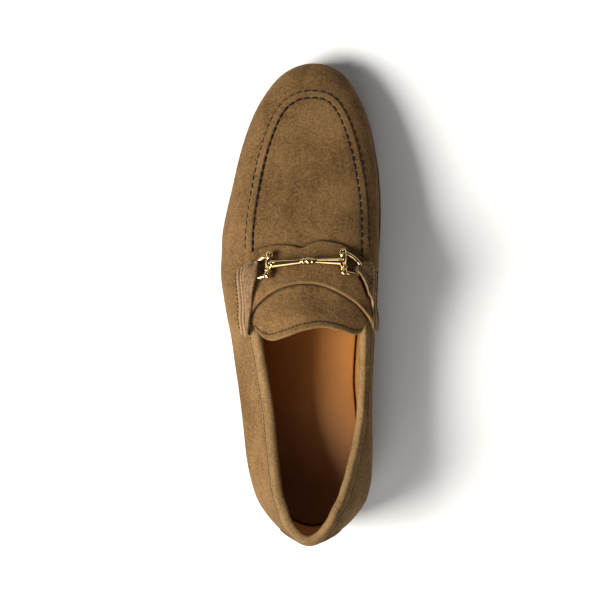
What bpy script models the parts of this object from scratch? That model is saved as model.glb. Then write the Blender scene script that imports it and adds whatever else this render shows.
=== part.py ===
"""A suede loafer for the left foot with a metal bit across the instep.

Lengths are metres. The toe points along +Y, the inner side of the foot along +X, the floor is Z = 0.
"""
import math

import bmesh
import bpy
import numpy as np
from mathutils import Matrix, Vector

# Named sizes
LENGTH = 0.2945
BALL_WIDTH = 0.0995
INSTEP_HEIGHT = 0.080
GAP = 0.0003
WALL = 0.0020
SEAM_WIDTH = 0.0045
SEAM_RISE = 0.0011
SOLE_THICKNESS = 0.0050
TOP_PIECE_THICKNESS = 0.0060
HEEL_LENGTH = 0.074
HEEL_TAPER = 0.0016
EDGE_ROUND = 0.0006
INSOLE_THICKNESS = 0.0025
BAND_THICKNESS = 0.0012
BAND_WIDTH = 0.0060
STRAP_THICKNESS = 0.0016
TONGUE_THICKNESS = 0.0018
BACKSTAY_THICKNESS = 0.0011
BACKSTAY_DEPTH = 0.0070
WIRE_RADIUS = 0.0011
CHEEK_RADIUS = 0.0017
KNOB_RADIUS = 0.0023
BAR_RADIUS = 0.0024
BAR_TIP_RADIUS = 0.0015
BAR_BOW = 0.0014
BARREL_WALL = 0.0004
BARREL_HALF = 0.0026
BORE_OVERRUN = 0.0006
EYE_RADIUS = 0.0021
EYE_WIRE = 0.0008

# Places of the cheeks and of the middle of the bar in plan: share of the ball width from the
# middle line, share of the length from the heel's back. Each ring reaches outward from its cheek
# and droops towards the heel
CHEEK_OUTER = (-0.2322, 0.5616)
CHEEK_INNER = (0.1879, 0.5671)
LINK = (-0.0111, 0.5664)
RING_HALF = 0.0063
RING_REACH = 0.0100
RING_DROOP = 0.0034

# Where the ribs of the last stop running straight across the foot
TOE_TURN = 0.205
HEEL_TURN = 0.070

# Cross sections of the last, one row each
# along the length, outer and inner half width as shares of the ball width,
# height of the widest line as a share of the instep height,
# outer and inner tuck under the widest line as shares of the ball width,
# outer and inner place of the seam or topline as shares of the rib,
# its height as a share of the instep height, ridge offset as a share of the ball width, roundness
SECTIONS = np.array([
    (0.000, 0.000, 0.000, 0.575, 0.046, 0.046, 0.885, 0.885, 1.060, -0.005, 1.00),
    (0.022, 0.184, 0.177, 0.570, 0.046, 0.046, 0.705, 0.720, 1.055, -0.005, 1.00),
    (0.050, 0.273, 0.268, 0.565, 0.048, 0.048, 0.590, 0.630, 1.035, -0.005, 1.00),
    (0.090, 0.346, 0.343, 0.555, 0.050, 0.050, 0.548, 0.612, 0.990, -0.005, 1.00),
    (0.140, 0.389, 0.371, 0.540, 0.051, 0.054, 0.532, 0.662, 0.920, -0.006, 1.00),
    (0.200, 0.417, 0.372, 0.520, 0.055, 0.064, 0.545, 0.760, 0.845, -0.007, 1.00),
    (0.270, 0.441, 0.371, 0.485, 0.062, 0.082, 0.564, 0.842, 0.790, -0.009, 1.02),
    (0.340, 0.471, 0.376, 0.440, 0.066, 0.100, 0.594, 0.862, 0.780, -0.013, 1.08),
    (0.420, 0.510, 0.386, 0.390, 0.060, 0.096, 0.614, 0.856, 0.838, -0.019, 1.30),
    (0.500, 0.552, 0.401, 0.345, 0.048, 0.074, 0.625, 0.845, 0.862, -0.024, 1.65),
    (0.560, 0.573, 0.408, 0.310, 0.038, 0.052, 0.632, 0.832, 0.815, -0.028, 1.95),
    (0.620, 0.569, 0.413, 0.285, 0.032, 0.036, 0.641, 0.815, 0.748, -0.030, 2.15),
    (0.690, 0.536, 0.415, 0.272, 0.030, 0.031, 0.658, 0.790, 0.663, -0.021, 2.25),
    (0.760, 0.489, 0.405, 0.265, 0.030, 0.030, 0.668, 0.743, 0.596, -0.012, 2.30),
    (0.830, 0.438, 0.374, 0.262, 0.030, 0.030, 0.652, 0.690, 0.543, -0.003, 2.30),
    (0.890, 0.373, 0.330, 0.264, 0.031, 0.031, 0.638, 0.641, 0.508, 0.001, 2.25),
    (0.940, 0.291, 0.266, 0.270, 0.033, 0.033, 0.618, 0.603, 0.488, 0.003, 2.20),
    (0.975, 0.200, 0.191, 0.277, 0.035, 0.035, 0.572, 0.565, 0.480, 0.004, 2.20),
    (1.000, 0.000, 0.000, 0.280, 0.036, 0.036, 0.530, 0.530, 0.477, 0.005, 2.20),
])
SHARE, OUTER, INNER, WIDEST, TUCK_OUTER, TUCK_INNER, LINE_OUTER, LINE_INNER = range(8)
LINE_HEIGHT, RIDGE, ROUNDNESS = range(8, 11)

# Height of the feather edge: share of the length, share of the instep height
FEATHER = np.array([
    (0.00, 0.325), (0.10, 0.312), (0.19, 0.302), (0.26, 0.280), (0.34, 0.226), (0.41, 0.168),
    (0.48, 0.116), (0.55, 0.083), (0.62, 0.06625), (0.74, 0.06625), (0.80, 0.075), (0.87, 0.098),
    (0.94, 0.130), (1.00, 0.165),
])

# Height of the ridge over the foot: share of the length, share of the instep height
CROWN = np.array([
    (0.00, 1.480), (0.12, 1.400), (0.25, 1.290), (0.34, 1.200), (0.41, 1.118), (0.45, 1.060),
    (0.51, 0.978), (0.56, 0.906), (0.61, 0.834), (0.68, 0.736), (0.75, 0.644), (0.81, 0.572),
    (0.85, 0.530), (0.92, 0.480), (1.00, 0.450),
])

# How far the outsole stands past the feather edge: share of the length, share of the ball width
SOLE_EDGE = np.array([
    (0.00, 0.040), (0.05, 0.052), (0.14, 0.038), (0.27, 0.030), (0.40, 0.026), (0.50, 0.034),
    (0.58, 0.040), (0.80, 0.038), (1.00, 0.042),
])

# Edges of the saddle: share across the rib (outer side negative), rear edge and front edge as
# shares of the length
SADDLE = np.array([
    (-0.625, 0.472, 0.587), (-0.600, 0.467, 0.590), (-0.565, 0.477, 0.596), (-0.53, 0.486, 0.600),
    (-0.45, 0.499, 0.605), (-0.36, 0.510, 0.608), (-0.28, 0.517, 0.609), (-0.16, 0.524, 0.608),
    (-0.05, 0.527, 0.603), (0.05, 0.527, 0.611), (0.22, 0.523, 0.617), (0.39, 0.514, 0.614),
    (0.535, 0.503, 0.607), (0.675, 0.489, 0.594), (0.77, 0.472, 0.583), (0.845, 0.452, 0.574),
])

# Edges of a side tab: share across the rib, rear edge and front edge as shares of the length
TAB_OUTER = np.array([
    (0.49, 0.547, 0.558), (0.52, 0.542, 0.563), (0.545, 0.528, 0.570), (0.58, 0.512, 0.574),
    (0.605, 0.498, 0.575), (0.63, 0.465, 0.575), (0.665, 0.440, 0.574), (0.70, 0.430, 0.571),
    (0.74, 0.425, 0.566), (0.775, 0.436, 0.559),
])
TAB_INNER = np.array([
    (0.62, 0.548, 0.557), (0.68, 0.543, 0.563), (0.73, 0.527, 0.571), (0.775, 0.513, 0.575),
    (0.83, 0.499, 0.575), (0.86, 0.478, 0.575), (0.885, 0.450, 0.574), (0.92, 0.436, 0.570),
    (0.96, 0.434, 0.562),
])

# Shares across the rib where a side tab dives into its ring, has climbed on to the wire,
# leaves the wire and lies on the upper
TAB_OUTER_STEPS = (0.49, 0.530, 0.625, 0.73)
TAB_INNER_STEPS = (0.62, 0.675, 0.845, 0.93)
# Behind the ring a side tab comes down on the saddle between these shares of the length
RING_REAR = (0.487, 0.531)

# Edges of the tongue: share across the rib, rear edge and front edge as shares of the length
TONGUE = np.array([
    (-0.63, 0.466, 0.490), (-0.59, 0.452, 0.512), (-0.545, 0.435, 0.530), (-0.46, 0.420, 0.545),
    (-0.38, 0.416, 0.553), (-0.22, 0.422, 0.560), (0.00, 0.434, 0.560), (0.22, 0.440, 0.558),
    (0.49, 0.433, 0.550), (0.64, 0.427, 0.535), (0.73, 0.430, 0.520), (0.80, 0.455, 0.490),
])

# Shares of the length where the opening's edge starts to cross to the ridge and arrives there,
# where the collar band ends and between which the sewn seam rises
THROAT_REAR = 0.440
THROAT_FRONT = 0.505
BAND_FRONT = 0.456
SEAM_FADE = (0.56, 0.60)

SUEDE = ("suede", (0.165, 0.075, 0.026), 0.92, 0.0)
SUEDE_EDGE = ("suede_edge", (0.215, 0.105, 0.042), 0.90, 0.0)
SUEDE_TAB = ("suede_tab", (0.195, 0.092, 0.034), 0.90, 0.0)
LINING = ("insole_leather", (0.290, 0.120, 0.030), 0.55, 0.0)
SOLE_LEATHER = ("sole_leather", (0.170, 0.075, 0.030), 0.55, 0.0)
HEEL_LEATHER = ("heel_leather", (0.085, 0.038, 0.016), 0.50, 0.0)
RUBBER = ("heel_rubber", (0.020, 0.018, 0.016), 0.75, 0.0)
GOLD = ("pale_gold", (0.800, 0.620, 0.330), 0.22, 1.0)


def smooth_curve(at, stations, values):
    """Read a smooth curve without overshoot through the given rows."""
    step = np.diff(stations)
    rise = np.diff(values) / step
    before, after = rise[:-1], rise[1:]
    same_way = before * after > 0
    middle = np.where(same_way, 2 * before * after / np.where(same_way, before + after, 1.0), 0.0)
    slope = np.concatenate(([rise[0]], middle, [rise[-1]]))
    cell = np.clip(np.searchsorted(stations, at) - 1, 0, len(step) - 1)
    u = (at - stations[cell]) / step[cell]
    start = values[cell] * (1 + 2 * u) * (1 - u) ** 2 + step[cell] * slope[cell] * u * (1 - u) ** 2
    end = values[cell + 1] * u * u * (3 - 2 * u) - step[cell] * slope[cell + 1] * u * u * (1 - u)
    return start + end


def smooth_step(value, low, high):
    """Rise smoothly from 0 at low to 1 at high."""
    u = np.clip((value - low) / (high - low), 0.0, 1.0)
    return u * u * (3 - 2 * u)


def around(theta, column, parity=1.0):
    """Read a column of the sections at an angle round the outline, 0 at the heel, pi at the toe."""
    angles = np.arccos(1 - 2 * SECTIONS[:, SHARE])
    values = SECTIONS[:, column]
    stations = np.concatenate((-angles[:0:-1], angles, 2 * math.pi - angles[-2::-1]))
    mirrored = np.concatenate((parity * values[:0:-1], values, parity * values[-2::-1]))
    return smooth_curve(theta, stations, mirrored)


def along(y, table):
    """Read a two-column table of shares at a distance from the heel."""
    return smooth_curve(y / LENGTH, table[:, 0], table[:, 1])


def feather_height(y):
    """Height of the edge where upper and sole meet."""
    return INSTEP_HEIGHT * along(y, FEATHER)


def crown_height(y):
    """Height of the ridge of the last."""
    return INSTEP_HEIGHT * along(y, CROWN)


def rib_ends(theta, side):
    """Plan positions of a rib's inner end on the ridge and outer end on the outline."""
    y = LENGTH / 2 * (1 - np.cos(theta))
    toe = np.clip((y - TOE_TURN) / (LENGTH - TOE_TURN), 0.0, 1.0)
    heel = np.clip((HEEL_TURN - y) / HEEL_TURN, 0.0, 1.0)
    axis_y = np.where(y > TOE_TURN, TOE_TURN + (LENGTH - TOE_TURN) * (toe - toe * toe / 2), y)
    axis_y = np.where(y < HEEL_TURN, HEEL_TURN * (1 - heel + heel * heel / 2), axis_y)
    half = np.where(side < 0, around(theta, OUTER, -1.0), around(theta, INNER, -1.0)) * BALL_WIDTH
    ridge = around(theta, RIDGE) * BALL_WIDTH
    return ridge, axis_y, side * half, y


def last_point(theta, side, climb):
    """Point on the last: climb is -1 at the feather edge, 0 at the widest line, 1 on the ridge."""
    theta, side, climb = np.broadcast_arrays(theta, side, climb)
    ridge, axis_y, edge_x, edge_y = rib_ends(theta, side)
    reach = np.hypot(edge_x - ridge, edge_y - axis_y)
    widest = around(theta, WIDEST) * INSTEP_HEIGHT
    tuck = np.where(side < 0, around(theta, TUCK_OUTER), around(theta, TUCK_INNER)) * BALL_WIDTH
    round_power = around(theta, ROUNDNESS)
    line = np.where(side < 0, around(theta, LINE_OUTER), around(theta, LINE_INNER))
    crown = crown_height(axis_y)
    line_rise = (around(theta, LINE_HEIGHT) * INSTEP_HEIGHT - widest) / (crown - widest)
    rise_power = np.log(1 - line ** round_power) / np.log(line_rise)

    turn = np.clip(climb, 0.0, 1.0) * math.pi / 2
    upper_share = np.maximum(np.cos(turn), 0.0) ** (2 / round_power)
    down = np.clip(-climb, 0.0, 1.0)
    share = upper_share - tuck / reach * down ** 2
    x = ridge + (edge_x - ridge) * share
    y = axis_y + (edge_y - axis_y) * share

    slope = (crown_height(axis_y + 0.001) - crown_height(axis_y - 0.001)) / 0.002
    lean = slope * (edge_y - axis_y) * share * (1 - share) ** 2 * (climb > 0)
    rise = np.maximum(1 - upper_share ** round_power, 0.0) ** (1 / rise_power)
    z = widest + (crown - widest) * rise + lean
    z = np.where(climb < 0, widest + (feather_height(y) - widest) * down, z)
    return np.stack((x, y, z), axis=-1)


def climb_of_share(theta, share):
    """Climb at which a rib has the given share of its reach."""
    return 2 / math.pi * np.arccos(np.clip(share, 0.0, 1.0) ** (around(theta, ROUNDNESS) / 2))


def theta_of(y):
    """Angle round the outline at a distance from the heel."""
    return np.arccos(np.clip(1 - 2 * y / LENGTH, -1.0, 1.0))


def on_top(share, y):
    """Point on the last at a signed share across the rib and a distance from the heel."""
    side = np.where(share < 0, -1.0, 1.0)
    theta = theta_of(y)
    return last_point(theta, side, climb_of_share(theta, np.abs(share)))


def face_normals(points, faces):
    """Normals of the points of a mesh, from the faces round each."""
    corners = points[faces]
    flat = np.cross(corners[:, 2] - corners[:, 0], corners[:, 3] - corners[:, 1])
    normals = np.zeros_like(points)
    for corner in range(4):
        np.add.at(normals, faces[:, corner], flat)
    return normals / np.linalg.norm(normals, axis=1, keepdims=True)


def grid_faces(rows, columns, closed=False):
    """Faces of a grid of points, row by row; a closed grid joins its last column to its first."""
    row, column = np.meshgrid(np.arange(rows - 1), np.arange(columns - (not closed)), indexing="ij")
    beside = (column + 1) % columns
    faces = (row * columns + column, row * columns + beside,
             (row + 1) * columns + beside, (row + 1) * columns + column)
    return np.stack([part.ravel() for part in faces], axis=1)


def material_of(finish):
    """Material with the finish's name, colour, roughness and metallic value."""
    name, colour, roughness, metallic = finish
    material = bpy.data.materials.get(name)
    if material is None:
        material = bpy.data.materials.new(name)
        material.use_nodes = True
        shader = material.node_tree.nodes["Principled BSDF"]
        shader.inputs["Base Color"].default_value = (*colour, 1.0)
        shader.inputs["Roughness"].default_value = roughness
        shader.inputs["Metallic"].default_value = metallic
    return material


def add_object(name, points, faces, finish, sharp_angle=40):
    """Add one closed mesh as a named object."""
    mesh = bpy.data.meshes.new(name)
    mesh.from_pydata([tuple(point) for point in points], [], [tuple(face) for face in faces])
    body = bmesh.new()
    body.from_mesh(mesh)
    bmesh.ops.recalc_face_normals(body, faces=body.faces)
    body.to_mesh(mesh)
    body.free()
    mesh.materials.append(material_of(finish))
    mesh.shade_smooth()
    mesh.set_sharp_from_angle(angle=math.radians(sharp_angle))
    thing = bpy.data.objects.new(name, mesh)
    bpy.context.scene.collection.objects.link(thing)
    return thing


def shell(name, outside, inside, faces, finish):
    """Close the space between two copies of one patch of faces."""
    count = len(outside)
    directed = {}
    for face in faces:
        for start, end in zip(face, np.roll(face, -1)):
            directed[(int(start), int(end))] = True
    rim = [(end, start, start + count, end + count)
           for start, end in directed if (end, start) not in directed]
    inner_faces = [tuple(int(corner) + count for corner in face[::-1]) for face in faces]
    outer_faces = [tuple(int(corner) for corner in face) for face in faces]
    return add_object(name, np.concatenate((outside, inside)), outer_faces + inner_faces + rim, finish)


def patch(name, base, rows, columns, lift, thickness, finish):
    """Plate of a given thickness that follows a grid of points on the last."""
    flat = base.reshape(-1, 3)
    faces = grid_faces(rows, columns)
    normals = face_normals(flat, faces)
    normals *= np.where(normals[:, 2:3].mean() < 0, -1.0, 1.0)
    lift = np.broadcast_to(lift, (rows, columns)).reshape(-1, 1)
    return shell(name, flat + normals * (lift + thickness), flat + normals * lift, faces, finish)


def outline_angles(count):
    """Angles at even steps along one side of the outline, closer together at the throat."""
    fine = np.linspace(0, math.pi, 2001)
    _, _, x, y = rib_ends(fine, -1.0)
    middle = (THROAT_REAR + THROAT_FRONT) / 2
    closer = np.exp(-((y[1:] / LENGTH - middle) / (THROAT_FRONT - middle)) ** 2)
    step = np.hypot(np.diff(x), np.diff(y)) * (1 + closer)
    run = np.concatenate(([0.0], np.cumsum(step)))
    return np.interp(np.linspace(0, run[-1], count), run, fine)


def top_climb(theta, side):
    """Climb of the upper's edge: the topline at the rear, the ridge in front of the throat."""
    line = climb_of_share(theta, np.where(side < 0, around(theta, LINE_OUTER), around(theta, LINE_INNER)))
    share = (1 - np.cos(theta)) / 2
    return line + (1 - line) * smooth_step(share, THROAT_REAR, THROAT_FRONT) ** 1.5


def upper_rows(theta, side):
    """Climbs of the rows of one rib and the rise of the sewn seam at each."""
    ridge, axis_y, edge_x, edge_y = rib_ends(theta, side)
    reach = np.hypot(edge_x - ridge, edge_y - axis_y)
    line = np.where(side < 0, around(theta, LINE_OUTER), around(theta, LINE_INNER))
    share = (1 - np.cos(theta)) / 2
    present = smooth_step(share, *SEAM_FADE)
    top = top_climb(theta, side)
    steps = np.array([0.5, 0.22, -0.22, -0.5]) * SEAM_WIDTH / reach
    seam = climb_of_share(theta, line + steps)
    plain = top * np.array([0.62, 0.70, 0.78, 0.86])
    seam = plain + (seam - plain) * smooth_step(share, THROAT_REAR, SEAM_FADE[0])
    low = seam[0] * np.array([0.25, 0.5, 0.75])
    high = seam[-1] + (top - seam[-1]) * np.array([0.25, 0.5, 0.75, 1.0])
    climbs = np.concatenate(([-1.0, -0.5, 0.0], low, seam, high))
    rises = np.zeros(len(climbs))
    rises[7:9] = SEAM_RISE * present
    return climbs, rises


def build_upper():
    """Hollow upper, open underneath and at the collar and throat."""
    angles = outline_angles(45)
    toe = len(angles) - 1
    ring = [(angle, -1.0) for angle in angles] + [(angle, 1.0) for angle in angles[-2:0:-1]]
    base, rises = [], []
    for theta, side in ring:
        climbs, rise = upper_rows(theta, side)
        base.append(last_point(theta, side, climbs))
        rises.append(rise)
    base, rises = np.array(base), np.array(rises)
    columns, rows = len(ring), base.shape[1]
    number = np.arange(rows * columns).reshape(rows, columns)
    closed_from = int(np.argmax([top_climb(angle, -1.0) > 0.9999 for angle in angles]))
    for station in range(closed_from, toe):
        number[rows - 1, columns - station] = number[rows - 1, station]
    faces = number.ravel()[grid_faces(rows, columns, closed=True)]
    flat = base.transpose(1, 0, 2).reshape(-1, 3)
    lift = rises.T.reshape(-1, 1)
    used, compact = np.unique(faces, return_inverse=True)
    flat, lift, faces = flat[used], lift[used], compact.reshape(faces.shape)
    normals = face_normals(flat, faces)
    outward = np.sum(normals * (flat - flat.mean(axis=0)), axis=1).mean() > 0
    normals *= 1.0 if outward else -1.0
    return shell("upper", flat + normals * lift, flat - normals * WALL, faces, SUEDE)


def foot_loop(reach_past, height, angles=None):
    """Loop round the feather edge, from the front of the outer side by the heel to the inner side."""
    if angles is None:
        half = outline_angles(35)
        ring = [(angle, -1.0) for angle in half[::-1]] + [(angle, 1.0) for angle in half[1:-1]]
    else:
        ring = [(angle, -1.0) for angle in angles[::-1]] + [(angle, 1.0) for angle in angles[1:]]
    theta, side = np.array([angle for angle, _ in ring]), np.array([way for _, way in ring])
    ridge, axis_y, edge_x, edge_y = rib_ends(theta, side)
    reach = np.hypot(edge_x - ridge, edge_y - axis_y)
    feather = last_point(theta, side, -1.0)
    away = np.stack((edge_x - ridge, edge_y - axis_y), axis=1) / reach[:, None]
    loop = feather.copy()
    loop[:, :2] += away * np.reshape(reach_past(edge_y), (-1, 1))
    loop[:, 2] = height(loop[:, 1])
    return loop


def slab(name, loops, finish, tip_first):
    """Closed body between loops, with caps made of strips straight across the foot."""
    count = len(loops[0])
    faces = [tuple(int(corner) for corner in face) for face in grid_faces(len(loops), count, closed=True)]
    ends = (0, (len(loops) - 1) * count)
    for base in ends:
        if tip_first:
            pairs = [(index, count - index) for index in range(1, count // 2)]
            strip = [(base, base + pairs[0][0], base + pairs[0][1])]
            middle = base + count // 2
        else:
            pairs = [(index, count - 1 - index) for index in range(count // 2)]
            strip = []
            middle = base + count // 2
        for (left, right), (next_left, next_right) in zip(pairs, pairs[1:]):
            strip.append((base + left, base + next_left, base + next_right, base + right))
        strip.append((base + pairs[-1][0], middle, base + pairs[-1][1]))
        faces += [face[::-1] for face in strip] if base else strip
    return add_object(name, np.concatenate(loops), faces, finish)


def sole_edge(y):
    """How far the outsole stands past the feather edge."""
    return BALL_WIDTH * along(np.clip(y, 0, LENGTH), SOLE_EDGE)


def build_sole():
    """Outsole, stacked heel, top piece and insole."""
    def top(y):
        return feather_height(y) - GAP

    def bottom(y):
        return top(y) - SOLE_THICKNESS

    loops = [
        foot_loop(lambda y: sole_edge(y) - EDGE_ROUND, top),
        foot_loop(sole_edge, lambda y: top(y) - EDGE_ROUND),
        foot_loop(sole_edge, lambda y: top(y) - 0.42 * SOLE_THICKNESS),
        foot_loop(lambda y: sole_edge(y) - EDGE_ROUND, lambda y: top(y) - 0.50 * SOLE_THICKNESS),
        foot_loop(lambda y: sole_edge(y) - 0.5 * EDGE_ROUND, lambda y: bottom(y) + EDGE_ROUND),
        foot_loop(lambda y: sole_edge(y) - 2 * EDGE_ROUND, bottom),
    ]
    slab("outsole", loops, SOLE_LEATHER, True)

    heel_angles = theta_of(np.linspace(0, math.sqrt(HEEL_LENGTH), 19) ** 2)

    def heel_loop(taper, height):
        return foot_loop(lambda y: sole_edge(y) - 2 * EDGE_ROUND - taper, height, heel_angles)

    def stack_top(y):
        return bottom(y) - GAP

    stack_bottom = TOP_PIECE_THICKNESS + GAP
    loops = [
        heel_loop(0.0, stack_top),
        heel_loop(0.5 * HEEL_TAPER, lambda y: (stack_top(y) + stack_bottom) / 2),
        heel_loop(HEEL_TAPER, lambda y: np.full_like(y, stack_bottom)),
    ]
    slab("heel_stack", loops, HEEL_LEATHER, False)
    loops = [
        heel_loop(HEEL_TAPER, lambda y: np.full_like(y, TOP_PIECE_THICKNESS)),
        heel_loop(HEEL_TAPER, lambda y: np.full_like(y, EDGE_ROUND)),
        heel_loop(HEEL_TAPER + EDGE_ROUND, np.zeros_like),
    ]
    slab("heel_top_piece", loops, RUBBER, False)

    def insole_bottom(y):
        return feather_height(y) + GAP

    def insole_loop(inset, rise):
        inward = -WALL - 2 * GAP - inset
        return foot_loop(lambda y: np.full_like(y, inward), lambda y: insole_bottom(y) + rise)

    loops = [
        insole_loop(0.5 * EDGE_ROUND, 0.0),
        insole_loop(0.0, EDGE_ROUND),
        insole_loop(0.0, INSOLE_THICKNESS - EDGE_ROUND),
        insole_loop(EDGE_ROUND, INSOLE_THICKNESS),
    ]
    slab("insole", loops, LINING, True)


def sweep(name, centres, sideways, upward, profiles, finish, closed=False):
    """Closed body swept along centres, with a profile of sideways and upward offsets at each."""
    rings = (centres[:, None] + profiles[:, :, :1] * sideways[:, None]
             + profiles[:, :, 1:] * upward[:, None])
    count, sides = rings.shape[:2]
    faces = [tuple(int(corner) for corner in face) for face in grid_faces(count, sides, closed=True)]
    if closed:
        last = (count - 1) * sides
        for index in range(sides):
            beside = (index + 1) % sides
            faces.append((last + index, last + beside, beside, index))
    else:
        for base in (0, (count - 1) * sides):
            faces.append(tuple(range(base, base + sides)))
    return add_object(name, rings.reshape(-1, 3), faces, finish)


def unit(vectors):
    """Vectors of length one."""
    return vectors / np.linalg.norm(vectors, axis=-1, keepdims=True)


def last_normal(theta, side, climb):
    """Outward normal of the last, from steps along and across it."""
    small = 0.01
    climb = np.clip(climb, -0.98, 0.96)
    across = last_point(theta, side, climb + small) - last_point(theta, side, climb - small)
    forward = last_point(theta + small, side, climb) - last_point(theta - small, side, climb)
    return unit(np.cross(across, forward) * np.reshape(side, (-1, 1)) * -1)


def build_collar():
    """Rolled band that wraps the edge of the opening."""
    angles = outline_angles(45)
    angles = angles[(1 - np.cos(angles)) / 2 <= BAND_FRONT]
    theta = np.concatenate((angles[::-1], angles[1:]))
    side = np.concatenate((-np.ones(len(angles)), np.ones(len(angles) - 1)))
    climb = top_climb(theta, side)
    edge = last_point(theta, side, climb)
    normal = last_normal(theta, side, climb)
    middle = len(angles) - 1
    normal[middle] = unit(normal[middle] * (0, 1, 1))
    run = unit(np.gradient(edge, axis=0))
    rising = unit(np.cross(run, normal))
    rising *= np.where(rising[:, 2:3] < 0, -1.0, 1.0)
    out, inn, deep = 2 * GAP, -WALL - 2 * GAP, -BAND_WIDTH
    far_out, far_in, high = out + BAND_THICKNESS, inn - BAND_THICKNESS, GAP + BAND_THICKNESS
    mid = (out + inn) / 2
    profile = np.array([
        (deep, out), (GAP, out), (GAP, inn), (0.7 * deep, inn - GAP),
        (0.7 * deep, far_in - GAP), (0.15 * deep, far_in),
        (0.6 * high, 0.8 * far_in), (high, mid), (0.6 * high, out + 0.6 * BAND_THICKNESS),
        (0.15 * deep, far_out), (0.85 * deep, far_out), (deep, 0.4 * out + 0.6 * far_out),
    ])
    profiles = np.broadcast_to(profile, (len(theta), *profile.shape))
    sweep("collar_band", edge, rising, normal, profiles, SUEDE_EDGE)


def limits(table, share):
    """Rear and front edge of a plate at shares across the rib, as distances from the heel."""
    return (smooth_curve(share, table[:, 0], table[:, 1]) * LENGTH,
            smooth_curve(share, table[:, 0], table[:, 2]) * LENGTH)


def plate_grid(table, across, lengthwise, flip=1.0):
    """Grid of signed shares and distances between the edges that a table gives."""
    share = np.linspace(table[0, 0], table[-1, 0], across)
    rear, front = limits(table, share)
    step = np.linspace(0, 1, lengthwise)[:, None]
    return np.broadcast_to(flip * share, (lengthwise, across)), rear + (front - rear) * step


def band_lift(y):
    """Height over the last that clears the ends of the collar band and comes down in front of them."""
    return 2 * GAP + (2 * GAP + BAND_THICKNESS) * (1 - smooth_step(y / LENGTH, BAND_FRONT, BAND_FRONT + 0.04))


def strap_lift(share, y):
    """Height of the saddle's underside over the last: it rides over the tongue and the sewn seam."""
    _, tongue_front = limits(TONGUE, np.clip(share, TONGUE[0, 0], TONGUE[-1, 0]))
    beside = np.maximum(TONGUE[0, 0] - share, share - TONGUE[-1, 0])
    covered = 1 - smooth_step(y, tongue_front + 0.002, tongue_front + 0.010)
    covered *= 1 - smooth_step(beside, 0.02, 0.12)
    theta = theta_of(y)
    line = np.where(share < 0, around(theta, LINE_OUTER), around(theta, LINE_INNER))
    seam = smooth_step(np.abs(share), line - 0.12, line - 0.06) * smooth_step(y / LENGTH, *SEAM_FADE)
    return GAP + np.maximum((band_lift(y) + TONGUE_THICKNESS + GAP) * covered, SEAM_RISE * seam)


def build_straps():
    """Tongue, saddle and side tabs."""
    share, y = plate_grid(TONGUE, 17, 7)
    patch("tongue", on_top(share, y), 7, 17, band_lift(y), TONGUE_THICKNESS, SUEDE)

    share, y = plate_grid(SADDLE, 23, 9)
    patch("saddle", on_top(share, y), 9, 23, strap_lift(share, y), STRAP_THICKNESS, SUEDE)

    sides = (("side_tab_lateral", TAB_OUTER, TAB_OUTER_STEPS, -1.0),
             ("side_tab_medial", TAB_INNER, TAB_INNER_STEPS, 1.0))
    for name, table, steps, flip in sides:
        share, y = plate_grid(table, 15, 7, flip)
        over_saddle = strap_lift(share, y) + STRAP_THICKNESS + GAP
        over_ring = 2 * WIRE_RADIUS + 6 * GAP
        near_ring = smooth_step(y / LENGTH, *RING_REAR)
        lift = over_saddle + over_ring * near_ring * smooth_step(np.abs(share), steps[0], steps[1])
        lift = GAP + (lift - GAP) * (1 - smooth_step(np.abs(share), steps[2], steps[3]))
        lift = np.maximum(lift, band_lift(y))
        patch(name, on_top(share, y), 7, 15, lift, STRAP_THICKNESS, SUEDE_TAB)


def build_backstay():
    """Strip over the back of the heel, from above the sole to below the collar band."""
    half = theta_of(np.linspace(0, math.sqrt(BACKSTAY_DEPTH), 7) ** 2)
    theta = np.concatenate((half[:0:-1], half))
    side = np.concatenate((-np.ones(len(half) - 1), np.ones(len(half))))
    rows, columns = 9, len(theta)
    top = np.full(columns, top_climb(theta, side).min() - 0.08)
    climb = -0.9 + (top + 0.9) * np.linspace(0, 1, rows)[:, None]
    base = last_point(theta[None], side[None], climb)
    normal = last_normal(np.tile(theta, rows), np.tile(side, rows), climb.ravel()).reshape(rows, columns, 3)
    middle = len(half) - 1
    normal[:, middle] = unit(normal[:, middle] * (0, 1, 1))
    low = (base + normal * 2 * GAP).reshape(-1, 3)
    high = (base + normal * (2 * GAP + BACKSTAY_THICKNESS)).reshape(-1, 3)
    shell("backstay", high, low, grid_faces(rows, columns), SUEDE)


def rib_share(x, y):
    """Signed share across the rib of a plan position."""
    theta = theta_of(y)
    ridge, _, outer, _ = rib_ends(theta, -1.0)
    _, _, inner, _ = rib_ends(theta, 1.0)
    return np.where(x < ridge, -(x - ridge) / (outer - ridge), (x - ridge) / (inner - ridge))


def surface_frame(x, y, lift):
    """Points at a lift over the last for plan positions, with the normals there."""
    small = 0.0005

    def height(at_x, at_y):
        return on_top(rib_share(at_x, at_y), at_y)[..., 2]

    slope_x = (height(x + small, y) - height(x - small, y)) / (2 * small)
    slope_y = (height(x, y + small) - height(x, y - small)) / (2 * small)
    normal = unit(np.stack((-slope_x, -slope_y, np.ones_like(slope_x)), axis=-1))
    return on_top(rib_share(x, y), y) + normal * np.reshape(lift, (-1, 1)), normal


def round_profile(radii, sides):
    """Circles of the given radii."""
    turn = np.linspace(0, 2 * math.pi, sides, endpoint=False)
    circle = np.stack((np.cos(turn), np.sin(turn)), axis=1)
    return np.asarray(radii)[:, None, None] * circle


def bit_seat(x, y, radius):
    """Points where a round bar of the given radius lies just over the saddle."""
    lift = strap_lift(rib_share(x, y), y) + STRAP_THICKNESS + 4 * GAP + radius
    return surface_frame(x, y, lift)


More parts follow.
